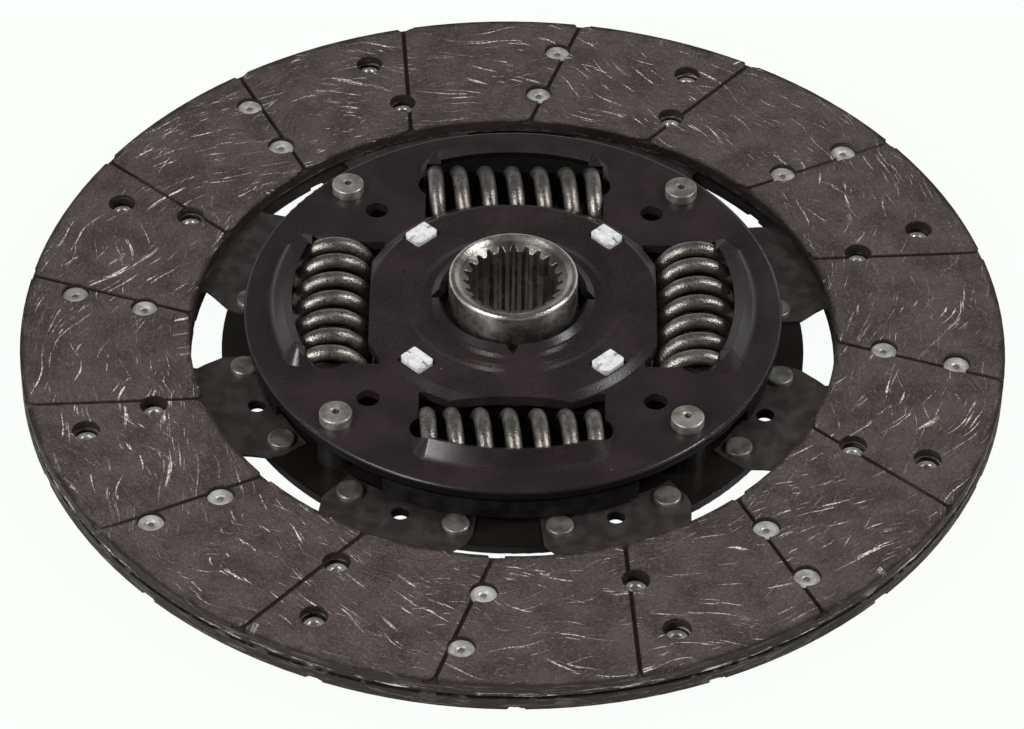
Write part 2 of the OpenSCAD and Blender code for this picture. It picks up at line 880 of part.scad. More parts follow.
module hub() {
  rear_chamfer = 0.9;
  rear_r = spline_major_r + rear_chamfer;
  lead_depth = (lead_in_r - spline_minor_r) * tan(lead_in_angle);
  color("#9a9a98")
    difference() {
      union() {
        translate([0, 0, hub_rear_z])
          rounded_disc(hub_r, nose_z - hub_rear_z, nose_round);
        translate([0, 0, flange_bottom])
          linear_extrude(flange_t)
            toothed_plan(0);
      }
      translate([0, 0, hub_rear_z - cut])
        linear_extrude(nose_z - hub_rear_z + 2 * cut)
          spline_plan();
      translate([0, 0, nose_z - lead_depth])
        cylinder(r1 = spline_minor_r, r2 = lead_in_r, h = lead_depth);
      translate([0, 0, nose_z - fit])
        cylinder(r = lead_in_r, h = cut);
      translate([0, 0, hub_rear_z])
        cylinder(r1 = rear_r, r2 = spline_minor_r, h = rear_r - spline_minor_r);
    }
}

// Flange of the hub: four lobes with spring windows, and notches for the stop pins
module hub_flange() {
  notch_half = diagonal - lobe_half;
  far = flange_r * 1.3;
  color("#4a4849")
    difference() {
      ring(coupling_root_r - cut, flange_r, flange_bottom, flange_top);
      translate([0, 0, flange_bottom - cut])
        linear_extrude(flange_t + 2 * cut) {
          toothed_plan(fit);
          for (i = quarters)
            rotate(diagonal + i * quarter)
              difference() {
                polygon([[0, 0], polar(far, -notch_half), polar(far * 1.2, 0), polar(far, notch_half)]);
                circle(r = notch_floor_r);
              }
          for (i = quarters)
            rotate(i * quarter)
              translate([spring_axis_r - spring_od / 2 - coil_clearance, -window_half])
                square([spring_od + 2 * coil_clearance, 2 * window_half]);
        }
    }
}

// Half a turn of spring wire, in the plane through its two ends
module half_turn(rise) {
  trim = 0.7;
  rotate([0, atan2(rise, 2 * coil_r), 0])
    rotate(trim)
      rotate_extrude(angle = 180 - 2 * trim)
        translate([norm([coil_r, rise / 2]), 0])
          circle(d = spring_wire, $fn = 32);
}

function rise_before(i) = i == 0 ? 0 : half_turn_rises[i - 1] + rise_before(i - 1);

// Compression spring along +Z, centred on the origin, with closed and ground ends
module coil_spring() {
  joint_l = 0.6;
  turns = len(half_turn_rises);
  intersection() {
    translate([0, 0, -spring_length / 2 - end_grind]) {
      for (i = [0 : turns - 1])
        translate([0, 0, rise_before(i) + half_turn_rises[i] / 2])
          rotate(i * 180)
            half_turn(half_turn_rises[i]);
      for (i = [1 : turns - 1])
        translate([i % 2 == 0 ? coil_r : -coil_r, 0, rise_before(i)])
          rotate([90, 0, 0])
            cylinder(r = spring_wire / 2 + seam, h = joint_l, center = true, $fn = 32);
    }
    cube([2 * spring_od, 2 * spring_od, spring_length], center = true);
  }
}

module damper_spring(i) {
  color("#6f6f70")
    rotate(i * quarter)
      translate([spring_axis_r, 0, mid_z])
        rotate([-90, 0, 0])
          coil_spring();
}

module stop_pin(i) {
  body = pin_d / 2;
  end = pin_end_d / 2;
  head = pin_head_d / 2;
  dimple = pin_dimple_d / 2;
  dimple_tip = dimple / 3;
  round_r = 0.5;
  color("#8a8b8c")
    rotate(diagonal + i * quarter)
      translate([pin_ring_r, 0, 0])
        difference() {
          union() {
            translate([0, 0, drive_bottom])
              cylinder(r = end, h = cover_top - drive_bottom);
            translate([0, 0, drive_top])
              cylinder(r = body, h = plate_gap);
            translate([0, 0, cover_top])
              rounded_disc(head, pin_head_h, round_r);
            translate([0, 0, drive_bottom])
              mirror([0, 0, 1])
                rounded_disc(head, pin_head_h, round_r);
          }
          translate([0, 0, cover_top + pin_head_h - dimple])
            cylinder(r1 = dimple_tip, r2 = dimple, h = dimple);
          translate([0, 0, drive_bottom - pin_head_h])
            cylinder(r1 = dimple, r2 = dimple_tip, h = dimple);
        }
}

// Moulded ring between flange and cover, held by four tabs in the platform's slots
module friction_ring() {
  lap = 2;
  ear_w = tab_w + 3;
  ear_r = tab_ring_r + tab_d / 2;
  slit = [0.7, 3.2, 2.4];
  color("#f2f1ee")
    difference() {
      union() {
        ring(washer_inner_r, ring_r, ring_bottom, ring_top);
        for (i = quarters)
          rotate(diagonal + i * quarter) {
            intersection() {
              ring(washer_inner_r + lap, ear_r, ring_bottom, ring_top);
              translate([washer_inner_r + lap, -ear_w / 2, 0])
                cube([ear_r, ear_w, ring_top + cut]);
            }
            translate([tab_ring_r, 0, 0])
              tab();
          }
      }
      for (i = quarters)
        rotate(diagonal + i * quarter)
          for (side = [-1, 1])
            translate([tab_ring_r, side * tab_w / 2, platform_top + tab_h])
              cube(slit, center = true);
    }
}

// One tab with round corners and bevelled upper edges
module tab() {
  chamfer = 0.5;
  corner = 1.6;
  top = platform_top + tab_h;
  half_d = tab_d / 2;
  half_w = tab_w / 2;
  low = ring_bottom + fit;
  intersection() {
    rotate([90, 0, 0])
      linear_extrude(tab_w, center = true)
        polygon([
          [-half_d, low], [half_d, low], [half_d, top - chamfer],
          [half_d - chamfer, top], [chamfer - half_d, top], [-half_d, top - chamfer]
        ]);
    rotate([90, 0, 90])
      linear_extrude(tab_d, center = true)
        polygon([
          [-half_w, low], [half_w, low], [half_w, top - chamfer],
          [half_w - chamfer, top], [chamfer - half_w, top], [-half_w, top - chamfer]
        ]);
    linear_extrude(top + cut) {
      square([tab_d - 2 * corner, tab_w], center = true);
      square([tab_d, tab_w - 2 * corner], center = true);
      for (x = [-1, 1])
        for (y = [-1, 1])
          translate([x * (half_d - corner), y * (half_w - corner)])
            circle(r = corner, $fn = 32);
    }
  }
}

module support_washer() {
  color("#5c5c5e") ring(washer_inner_r, washer_r, ring_top, washer_top);
}

// Conical sheet ring that presses the washer down from under the platform
module diaphragm_spring() {
  inner = washer_inner_r + washer_gap;
  rise = diaphragm_top - diaphragm_t - washer_top;
  color("#4b4b4e")
    rotate_extrude()
      polygon([
        [washer_r, washer_top], [washer_r, washer_top + diaphragm_t],
        [inner, washer_top + rise + diaphragm_t], [inner, washer_top + rise]
      ]);
}

// Flanged bush that carries the hub in the drive plate and rubs on the flange
module rear_friction_bush() {
  color("#d8d5cc")
    rotate_extrude()
      polygon([
        [hub_r + running, drive_bottom], [bush_sleeve_r, drive_bottom], [bush_sleeve_r, drive_top],
        [bush_r, drive_top], [bush_r, flange_bottom - fit], [hub_r + running, flange_bottom - fit]
      ]);
}

front_facing();
rear_facing();
cushion_segment(0);  // cushion_segment_1
cushion_segment(1);  // cushion_segment_2
cushion_segment(2);  // cushion_segment_3
cushion_segment(3);  // cushion_segment_4
cushion_segment(4);  // cushion_segment_5
cushion_segment(5);  // cushion_segment_6
cushion_segment(6);  // cushion_segment_7
cushion_segment(7);  // cushion_segment_8
drive_plate();
cover_plate();
hub();
hub_flange();
damper_spring(0);  // damper_spring_1
damper_spring(1);  // damper_spring_2
damper_spring(2);  // damper_spring_3
damper_spring(3);  // damper_spring_4
stop_pin(0);  // stop_pin_1
stop_pin(1);  // stop_pin_2
stop_pin(2);  // stop_pin_3
stop_pin(3);  // stop_pin_4
friction_ring();
support_washer();
diaphragm_spring();
rear_friction_bush();
segment_rivets();
front_facing_rivets();
rear_facing_rivets();
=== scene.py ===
"""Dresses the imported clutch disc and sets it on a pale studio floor."""

import logging
import math
from dataclasses import dataclass
from enum import Enum
from typing import Any

import bmesh
import bpy
from mathutils import Matrix, Vector


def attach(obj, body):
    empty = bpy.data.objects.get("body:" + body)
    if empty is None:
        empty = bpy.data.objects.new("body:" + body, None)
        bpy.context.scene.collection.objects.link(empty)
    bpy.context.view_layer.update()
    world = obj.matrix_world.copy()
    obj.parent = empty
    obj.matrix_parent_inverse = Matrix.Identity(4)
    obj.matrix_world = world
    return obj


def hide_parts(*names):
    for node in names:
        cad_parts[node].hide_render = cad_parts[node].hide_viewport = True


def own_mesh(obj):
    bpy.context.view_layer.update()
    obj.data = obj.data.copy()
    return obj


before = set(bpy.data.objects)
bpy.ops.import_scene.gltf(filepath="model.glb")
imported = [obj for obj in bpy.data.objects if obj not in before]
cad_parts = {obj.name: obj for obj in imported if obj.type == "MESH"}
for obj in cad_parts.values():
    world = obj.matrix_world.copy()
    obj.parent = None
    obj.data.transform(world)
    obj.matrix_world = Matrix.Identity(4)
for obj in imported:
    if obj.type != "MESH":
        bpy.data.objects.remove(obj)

logging.basicConfig(level=logging.INFO, format="%(message)s")
log = logging.getLogger("clutch_disc")

MM = 0.001

# Settings that many nodes share. A MapRange lists its value, the range that it is taken from
# and the range that it gives. Noise lies mostly between 0.3 and 0.7, so a range within those
# limits sets how much of a surface a detail covers.
SMOOTH = {"interpolation_type": "SMOOTHSTEP"}
COLOUR = {"data_type": "RGBA"}


class Body(Enum):
    """The bodies that new pieces ride on, by their names."""

    SPRINGS = "damper_springs"


class Lean(Enum):
    """The way in which a family of yarn arcs turns about the axis."""

    CLOCKWISE = -1
    COUNTERCLOCKWISE = 1


@dataclass(frozen=True)
class SpringSize:
    """Size and place of the damper springs, as in the CAD model."""

    axis_mm: float = 44.3
    level_mm: float = 11.8
    coil_r_mm: float = 8.5
    wire_mm: float = 4.0
    length_mm: float = 44.0


def linear(colour: str) -> tuple[float, float, float, float]:
    """Turns an sRGB hex colour into the linear values that a shader takes.

    Args:
        colour: Six hex digits after a number sign.

    Returns:
        Red, green, blue and an alpha of 1.
    """
    parts = (int(colour[i : i + 2], 16) / 255 for i in (1, 3, 5))
    red, green, blue = (
        p / 12.92 if p <= 0.04045 else ((p + 0.055) / 1.055) ** 2.4 for p in parts
    )
    return red, green, blue, 1.0


def per_mm(millimetres: float) -> float:
    """Gives the texture scale whose features are about this many millimetres apart."""
    return 1 / (millimetres * MM)


def pick(sockets: Any, key: int | str) -> Any:
    """Finds a socket.

    Args:
        sockets: The inputs or outputs of a node.
        key: The socket's place, its identifier or its name.

    Returns:
        The socket.
    """
    if isinstance(key, int):
        return sockets[key]
    return next((s for s in sockets if s.identifier == key), None) or sockets[key]


def add(
    tree: bpy.types.NodeTree,
    kind: str,
    inputs: list[Any] | dict[str, Any] | None = None,
    output: int | str = 0,
    **settings: Any,
) -> Any:
    """Adds one node with its settings, values and links.

    Args:
        tree: The node tree that the node goes into.
        kind: The node's type, without the prefix that all shader nodes share.
        inputs: What each input gets, in their order or by name: a socket to link, a plain
            value, or a hex colour.
        output: The output that is wanted.
        settings: Attributes of the node.

    Returns:
        The wanted output socket, or the node itself if it has no outputs.
    """
    node = tree.nodes.new("ShaderNode" + kind)
    for key, value in settings.items():
        setattr(node, key, value)
    named = enumerate(inputs) if isinstance(inputs, list) else (inputs or {}).items()
    for key, value in named:
        target = pick(node.inputs, key)
        if isinstance(value, bpy.types.NodeSocket):
            tree.links.new(value, target)
        else:
            target.default_value = linear(value) if isinstance(value, str) else value
    return pick(node.outputs, output) if len(node.outputs) else node


@dataclass
class Canvas:
    """A new material with one principled shader, and the places that every finish uses."""

    material: bpy.types.Material
    shader: bpy.types.Node
    place: Any
    flat: Any
    radius: Any
    level: Any

    @classmethod
    def start(cls, name: str, **constants: float) -> "Canvas":
        """Makes the material, with its constants set on the shader itself.

        Args:
            name: The material's name.
            constants: Shader inputs by name, with spaces written as underscores.

        Returns:
            The canvas.
        """
        material = bpy.data.materials.new(name)
        material.use_nodes = True
        tree = material.node_tree
        tree.nodes.clear()
        values = {key.replace("_", " "): value for key, value in constants.items()}
        surface = add(tree, "BsdfPrincipled", values)
        add(tree, "OutputMaterial", {"Surface": surface})
        place = add(tree, "TexCoord", output="Object")
        flat = add(tree, "VectorMath", [place, (1, 1, 0)], operation="MULTIPLY")
        radius = add(tree, "VectorMath", [flat], "Value", operation="LENGTH")
        level = add(tree, "SeparateXYZ", [place], "Z")
        return cls(material, surface.node, place, flat, radius, level)

    def add(
        self,
        kind: str,
        inputs: list[Any] | dict[str, Any] | None = None,
        output: int | str = 0,
        **settings: Any,
    ) -> Any:
        """Adds one node to this material, in the way that add does."""
        return add(self.material.node_tree, kind, inputs, output, **settings)

    def finish(self, colour: Any, roughness: Any, normal: Any) -> bpy.types.Material:
        """Links the worked-out colour, roughness and normal to the shader.

        Args:
            colour: Colour socket.
            roughness: Roughness socket.
            normal: Normal socket.

        Returns:
            The finished material.
        """
        for key, value in (("Base Color", colour), ("Roughness", roughness), ("Normal", normal)):
            self.material.node_tree.links.new(value, self.shader.inputs[key])
        return self.material


@dataclass(frozen=True)
class Yarn:
    """One family of yarn arcs in the facing: which way it slants, how much, and how much
    rarer its bared fibres are."""

    lean: Lean
    slant_deg: float
    rarer: float


@dataclass(frozen=True)
class PressedLining:
    """Wound yarn pressed in resin and ground flat: dull brown-grey, with ragged pale cut
    fibres in slanting arcs, fine pits, dark cut edges that are worn along the joint, and
    painted shade on the walls, in the bore and in the gap between the facings."""

    resin: str = "#514644"
    resin_dark: str = "#3d3431"
    fibre: str = "#b3a39b"
    fibre_bright: str = "#f4eae4"
    pit: str = "#1b1613"
    grit: str = "#847a76"
    rim: str = "#1f1a17"
    middle_mm: float = 99.4
    half_width_mm: float = 21.8
    outer_mm: float = 120.0
    inner_mm: float = 78.75
    face_mm: float = 11.46
    front_back_mm: float = 8.16
    rear_back_mm: float = 7.16
    rear_mm: float = 3.86
    yarns: tuple[Yarn, Yarn] = (
        Yarn(Lean.CLOCKWISE, 26.0, 0.0),
        Yarn(Lean.COUNTERCLOCKWISE, 12.0, 0.035),
    )
    # The arc sine is steep near the edges, so a share of the half width is held inside them.
    held_within: float = 0.97
    # Width and length of a feature. Bared patches are about 2 mm wide and 6 mm long, of
    # threads 0.6 mm wide and 4 mm long; the noise is twice that, as only its peaks show.
    bundle_mm: tuple[float, float] = (3.8, 13.0)
    thread_mm: tuple[float, float] = (1.35, 9.0)
    bundle_shows: tuple[float, float] = (0.55, 0.62)
    thread_shows: tuple[float, float] = (0.57, 0.62)
    # The yarn is not laid evenly. Noise strays about 0.15 from its middle, so this moves
    # the yarn by some 3 mm over 30 mm.
    wander_over_mm: float = 30.0
    wander_mm: float = 20.0
    patch_mm: float = 22.0
    mottle_mm: float = 9.0
    ragged_mm: float = 5.0
    # Grit in the resin is about 0.2 mm across, so it is drawn twice as coarse.
    grit_mm: float = 0.45
    # The layers of the wall are about 0.4 mm thick and torn every 4 mm or so, and both
    # are doubled like the threads.
    layer_mm: float = 0.8
    tear_mm: float = 8.0
    # Where the dark starts and ends: inside the rim, a darker cut edge; inside the bore, painted
    # shade; and behind a face, painted shade on the walls.
    rim_edge_mm: tuple[float, float] = (1.5, 0.1)
    bore_edge_mm: float = 1.2
    face_edge_mm: tuple[float, float] = (0.15, 0.5)
    # The rim's share darkens the cut edge and paints shade on the bore; the walls' share is
    # painted shade.
    rim_dark: float = 0.8
    wall_shade: float = 0.82
    # The front facing's lower edge is frayed pale, most of all at the rim; the rear one's
    # upper edge is dark and jagged with a painted shadow of the gap between the facings.
    frayed_edge_mm: tuple[float, float] = (1.3, 0.5)
    upper_edge_mm: float = 0.2
    gap_edge_mm: tuple[float, float] = (0.7, 0.3)
    edge_wander_mm: float = 3.0
    gap_wander_mm: float = 5.0
    corner_mm: float = 0.3
    yarn_relief_mm: float = 0.5
    fibre_relief_mm: float = 0.12
    grit_relief_mm: float = 0.3

    def _along_yarn(
        self, c: Canvas, wander: Any, yarn: Yarn, width_mm: float, length_mm: float
    ) -> Any:
        """Gives a place vector that is stretched along one family of yarn arcs.

        A yarn swings between the two edges: its direction follows the arc sine of its
        radius, so it crosses the middle slantwise and turns at the edges.

        Args:
            c: The canvas.
            wander: Place socket that already wanders a little.
            yarn: The family of arcs.
            width_mm: Width of a feature, across the yarn.
            length_mm: Length of a feature, along the yarn.

        Returns:
            The vector's output socket, with features about 1 unit apart.
        """
        slant = math.radians(yarn.slant_deg)
        swing = self.middle_mm * math.tan(slant) / self.half_width_mm
        flat = c.add("VectorMath", [wander, (1, 1, 0)], operation="MULTIPLY")
        radius = c.add("VectorMath", [flat], "Value", operation="LENGTH")
        offset = c.add("Math", [radius, self.middle_mm * MM], operation="SUBTRACT")
        share = c.add("Math", [offset, self.half_width_mm * MM], operation="DIVIDE")
        held = c.add("Clamp", [share, -self.held_within, self.held_within])
        arc = c.add("Math", [held], operation="ARCSINE")
        angle = c.add("Math", [arc, yarn.lean.value / swing], operation="MULTIPLY")
        turned = c.add("VectorRotate", {"Vector": flat, "Angle": angle}, rotation_type="Z_AXIS")
        unit = c.add("VectorMath", [turned], operation="NORMALIZE")
        across = self.middle_mm / width_mm
        round_part = c.add("VectorMath", [unit, (across, across, 0)], operation="MULTIPLY")
        stretch = self.half_width_mm / math.sin(slant) / length_mm
        along = c.add("Math", [arc, stretch], operation="MULTIPLY")
        raised = c.add("CombineXYZ", {"Z": along})
        return c.add("VectorMath", [round_part, raised], operation="ADD")

    def _bundles(self, c: Canvas, wander: Any, yarn: Yarn) -> tuple[Any, Any]:
        """Draws one family of fibre bundles.

        Args:
            c: The canvas.
            wander: Place socket that already wanders a little.
            yarn: The family of arcs.

        Returns:
            Output sockets of the pale fibres' mask and of the yarn's soft relief.
        """
        along_bundles = self._along_yarn(c, wander, yarn, *self.bundle_mm)
        along_threads = self._along_yarn(c, wander, yarn, *self.thread_mm)
        bundle = c.add("TexNoise", {"Vector": along_bundles, "Scale": 1.0, "Detail": 1.0})
        thread = c.add(
            "TexNoise",
            {"Vector": along_threads, "Scale": 1.0, "Detail": 2.0, "Roughness": 0.6},
        )
        few, many = (edge + yarn.rarer for edge in self.bundle_shows)
        bared = c.add("MapRange", [bundle, few, many, 0.0, 1.0], **SMOOTH)
        few, many = (edge + yarn.rarer for edge in self.thread_shows)
        lines = c.add("MapRange", [thread, few, many, 0.0, 1.0], **SMOOTH)
        mask = c.add("Math", [bared, lines], operation="MULTIPLY")
        return mask, bundle

    def _cut_edges(self, c: Canvas, ragged: Any) -> tuple[Any, Any, Any]:
        """Draws the walls of the rim, the bore, the grooves and the holes, with painted shade on
        them and in the gap between the facings.

        Args:
            c: The canvas.
            ragged: Noise that makes the dark edges uneven.

        Returns:
            Output sockets of the share of dark edge and painted shade, of the pale worn streaks'
            mask, and of the share by which a point is below both faces.
        """
        centred = c.add("Math", [ragged, 0.5], operation="SUBTRACT")
        shift = c.add("Math", [centred, self.edge_wander_mm * MM], operation="MULTIPLY")
        edge = c.add("Math", [c.radius, shift], operation="ADD")
        rim_start, rim_end = (self.outer_mm - inset for inset in self.rim_edge_mm)
        near, deep = self.face_edge_mm
        outer, inner, below_front, above_rear = (
            c.add("MapRange", [place, start * MM, end * MM, 0.0, share], **SMOOTH)
            for place, start, end, share in (
                (edge, rim_start, rim_end, self.rim_dark),
                (edge, self.inner_mm + self.bore_edge_mm, self.inner_mm, self.rim_dark),
                (c.level, self.face_mm - near, self.face_mm - deep, 1.0),
                (c.level, self.rear_mm + near, self.rear_mm + deep, 1.0),
            )
        )
        inside = c.add("Math", [below_front, above_rear], operation="MULTIPLY")
        # Painted shade on every wall that lies behind both faces.
        wall_shade_share = c.add("Math", [inside, self.wall_shade], operation="MULTIPLY")
        dark_and_shade = c.add("Math", [outer, inner], operation="MAXIMUM")
        dark_and_shade = c.add("Math", [dark_and_shade, wall_shade_share], operation="MAXIMUM")
        tears = self.outer_mm / self.tear_mm
        unit = c.add("VectorMath", [c.flat], operation="NORMALIZE")
        around = c.add("VectorMath", [unit, (tears, tears, 0)], operation="MULTIPLY")
        height = c.add("Math", [c.level, per_mm(self.layer_mm)], operation="MULTIPLY")
        rise = c.add("CombineXYZ", {"Z": height})
        layered = c.add("VectorMath", [around, rise], operation="ADD")
        layers = c.add(
            "TexNoise", {"Vector": layered, "Scale": 1.0, "Detail": 3.0, "Roughness": 0.7}
        )
        worn = c.add("MapRange", [layers, 0.52, 0.62, 0.0, 0.9], **SMOOTH)
        front, rear = self.front_back_mm, self.rear_back_mm
        sound, torn = (front + above for above in self.frayed_edge_mm)
        edges = ((sound, torn, 0.1), (rear - self.upper_edge_mm, front, 0.12))
        frayed, upper = (
            c.add("MapRange", [c.level, start * MM, end * MM, least, 1.0], **SMOOTH)
            for start, end, least in edges
        )
        # The pale streaks fade toward the bore, so that its painted shade stays dark.
        span = [self.inner_mm * MM, self.outer_mm * MM]
        bore_shade_fade = c.add("MapRange", [c.radius, *span, 0.15, 1.0])
        for share in (frayed, upper, bore_shade_fade, inside):
            worn = c.add("Math", [worn, share], operation="MULTIPLY")
        # A jagged painted shadow darkens the rear facing's upper edge, in the gap under the front
        # facing.
        centred = c.add("Math", [layers, 0.5], operation="SUBTRACT")
        jagged = c.add("Math", [centred, self.gap_wander_mm * MM], operation="MULTIPLY")
        edge = c.add("Math", [c.level, jagged], operation="ADD")
        band = [(rear - below) * MM for below in self.gap_edge_mm]
        joint_shadow = c.add("MapRange", [edge, *band, 0.0, 1.0], **SMOOTH)
        under = c.add("Math", [c.level, front * MM], operation="LESS_THAN")
        joint_shadow = c.add("Math", [joint_shadow, under], operation="MULTIPLY")
        dark_and_shade = c.add("Math", [dark_and_shade, joint_shadow], operation="MAXIMUM")
        return c.add("Math", [dark_and_shade, worn], operation="SUBTRACT", use_clamp=True), worn, inside

    def build(self) -> bpy.types.Material:
        """Builds the lining's material.

        Returns:
            The material.
        """
        c = Canvas.start("pressed_friction_lining", IOR=1.5, Specular_IOR_Level=0.3)
        slow = {"Vector": c.place, "Scale": per_mm(self.wander_over_mm), "Detail": 1.0}
        drift = c.add("TexNoise", slow, "Color")
        centred = c.add("VectorMath", [drift, (0.5, 0.5, 0.5)], operation="SUBTRACT")
        reach = (self.wander_mm * MM, self.wander_mm * MM, 0.0)
        moved = c.add("VectorMath", [centred, reach], operation="MULTIPLY")
        wander = c.add("VectorMath", [c.place, moved], operation="ADD")
        mask_a, relief_a = self._bundles(c, wander, self.yarns[0])
        mask_b, relief_b = self._bundles(c, wander, self.yarns[1])
        fibres = c.add("Math", [mask_a, mask_b], operation="MAXIMUM")
        relief = c.add("Math", [relief_a, relief_b], operation="ADD")
        patch = c.add(
            "TexNoise", {"Vector": c.place, "Scale": per_mm(self.patch_mm), "Detail": 1.0}
        )
        grain = c.add(
            "TexNoise",
            {"Vector": c.place, "Scale": per_mm(self.grit_mm), "Detail": 3.0, "Roughness": 0.7},
        )
        lively = c.add("MapRange", [patch, 0.36, 0.55, 0.2, 1.0], **SMOOTH)
        crumbs = c.add("MapRange", [grain, 0.37, 0.5, 0.3, 1.0], **SMOOTH)
        for share in (lively, crumbs):
            fibres = c.add("Math", [fibres, share], operation="MULTIPLY")
        ragged = c.add(
            "TexNoise", {"Vector": c.place, "Scale": per_mm(self.ragged_mm), "Detail": 3.0}
        )
        dark_and_shade, worn, inside = self._cut_edges(c, ragged)
        mottle = c.add(
            "TexNoise",
            {"Vector": c.place, "Scale": per_mm(self.mottle_mm), "Detail": 3.0, "Roughness": 0.55},
        )
        shade = c.add("MapRange", [mottle, 0.32, 0.66, 0.0, 1.0], **SMOOTH)
        dust = c.add("MapRange", [grain, 0.5, 0.74, 0.0, 0.5], **SMOOTH)
        pits = c.add("MapRange", [grain, 0.48, 0.26, 0.0, 0.75], **SMOOTH)
        sheen = c.add("MapRange", [grain, 0.38, 0.58, 0.0, 1.0], **SMOOTH)
        fibre = {"Factor_Float": sheen, "A_Color": self.fibre, "B_Color": self.fibre_bright}
        pale = c.add("Mix", fibre, "Result_Color", **COLOUR)
        covered = c.add("Math", [dark_and_shade, inside], operation="MAXIMUM")
        bright = c.add("Math", [1.0, covered], operation="SUBTRACT", use_clamp=True)
        bright = c.add("Math", [bright, fibres], operation="MULTIPLY")
        bright = c.add("Math", [bright, worn], operation="MAXIMUM")
        tone: Any = self.resin_dark
        # The rim colour covers the dark cut edges and the painted shade alike.
        layers = (
            (shade, self.resin),
            (dust, self.grit),
            (pits, self.pit),
            (dark_and_shade, self.rim),
            (bright, pale),
        )
        for share, colour in layers:
            layer = {"Factor_Float": share, "A_Color": tone, "B_Color": colour}
            tone = c.add("Mix", layer, "Result_Color", **COLOUR)
        rough = c.add("MapRange", [grain, 0.2, 0.8, 0.62, 0.86], **SMOOTH)
        normal = c.add("Bevel", {"Radius": self.corner_mm * MM}, samples=4)
        reliefs = (
            (relief, self.yarn_relief_mm),
            (bright, self.fibre_relief_mm),
            (grain, self.grit_relief_mm),
        )
        for height, depth_mm in reliefs:
            bump = {"Height": height, "Distance": depth_mm * MM, "Normal": normal}
            normal = c.add("Bump", bump)
        return c.finish(tone, rough, normal)


@dataclass(frozen=True)
class BlackSteelSheet:
    """Pressed sheet with a black phosphate coat under oil: near black, satin, faintly warm,
    with a fine crystal grain and a few pale specks of dust."""

    name: str = "black_phosphated_sheet"
    coat: str = "#272022"
    worn: str = "#33292b"
    speck: str = "#8d8a88"
    dark_grain_and_rim_shade: str = "#0c0a0b"
    rim_mm: float = 65.5
    rim_edge_mm: tuple[float, float] = (0.3, 0.1)
    cloud_mm: float = 14.0
    # Phosphate crystals are far finer, so the grain is drawn at 0.4 mm.
    crystal_mm: float = 0.4
    crystal_relief_mm: float = 0.02
    # Specks of dust are about 0.12 mm wide, drawn twice that so that they show, and far
    # apart.
    speck_every_mm: float = 6.0
    corner_mm: float = 0.25

    def build(self) -> bpy.types.Material:
        """Builds the plates' material.

        Returns:
            The material.
        """
        c = Canvas.start(self.name, IOR=1.5, Specular_IOR_Level=0.4)
        cloud = c.add(
            "TexNoise", {"Vector": c.place, "Scale": per_mm(self.cloud_mm), "Detail": 3.0}
        )
        fine = {"Vector": c.place, "Scale": per_mm(self.crystal_mm), "Detail": 2.0}
        crystal = c.add("TexNoise", {**fine, "Roughness": 0.65})
        shade = c.add("MapRange", [cloud, 0.35, 0.7, 0.0, 1.0], **SMOOTH)
        # The punched rim is darkened with painted shade, and the deepest grains of the coat are
        # dark.
        grit = c.add("MapRange", [crystal, 0.52, 0.36, 0.0, 0.55], **SMOOTH)
        rim = [(self.rim_mm - inset) * MM for inset in self.rim_edge_mm]
        edge = c.add("MapRange", [c.radius, *rim, 0.0, 0.9], **SMOOTH)
        grit = c.add("Math", [grit, edge], operation="MAXIMUM")
        grid = {"Vector": c.place, "Scale": per_mm(self.speck_every_mm)}
        cell = c.add("TexVoronoi", grid, "Distance")
        speck = c.add("MapRange", [cell, 0.034, 0.02, 0.0, 1.0], **SMOOTH)
        kept = c.add("MapRange", [cloud, 0.52, 0.56, 0.0, 0.7], **SMOOTH)
        speck = c.add("Math", [speck, kept], operation="MULTIPLY")
        tone: Any = self.coat
        for share, colour in ((shade, self.worn), (grit, self.dark_grain_and_rim_shade), (speck, self.speck)):
            layer = {"Factor_Float": share, "A_Color": tone, "B_Color": colour}
            tone = c.add("Mix", layer, "Result_Color", **COLOUR)
        rough = c.add("MapRange", [cloud, 0.3, 0.75, 0.22, 0.31], **SMOOTH)
        normal = c.add("Bevel", {"Radius": self.corner_mm * MM}, samples=4)
        depth = self.crystal_relief_mm * MM
        normal = c.add("Bump", {"Height": crystal, "Distance": depth, "Normal": normal})
        return c.finish(tone, rough, normal)


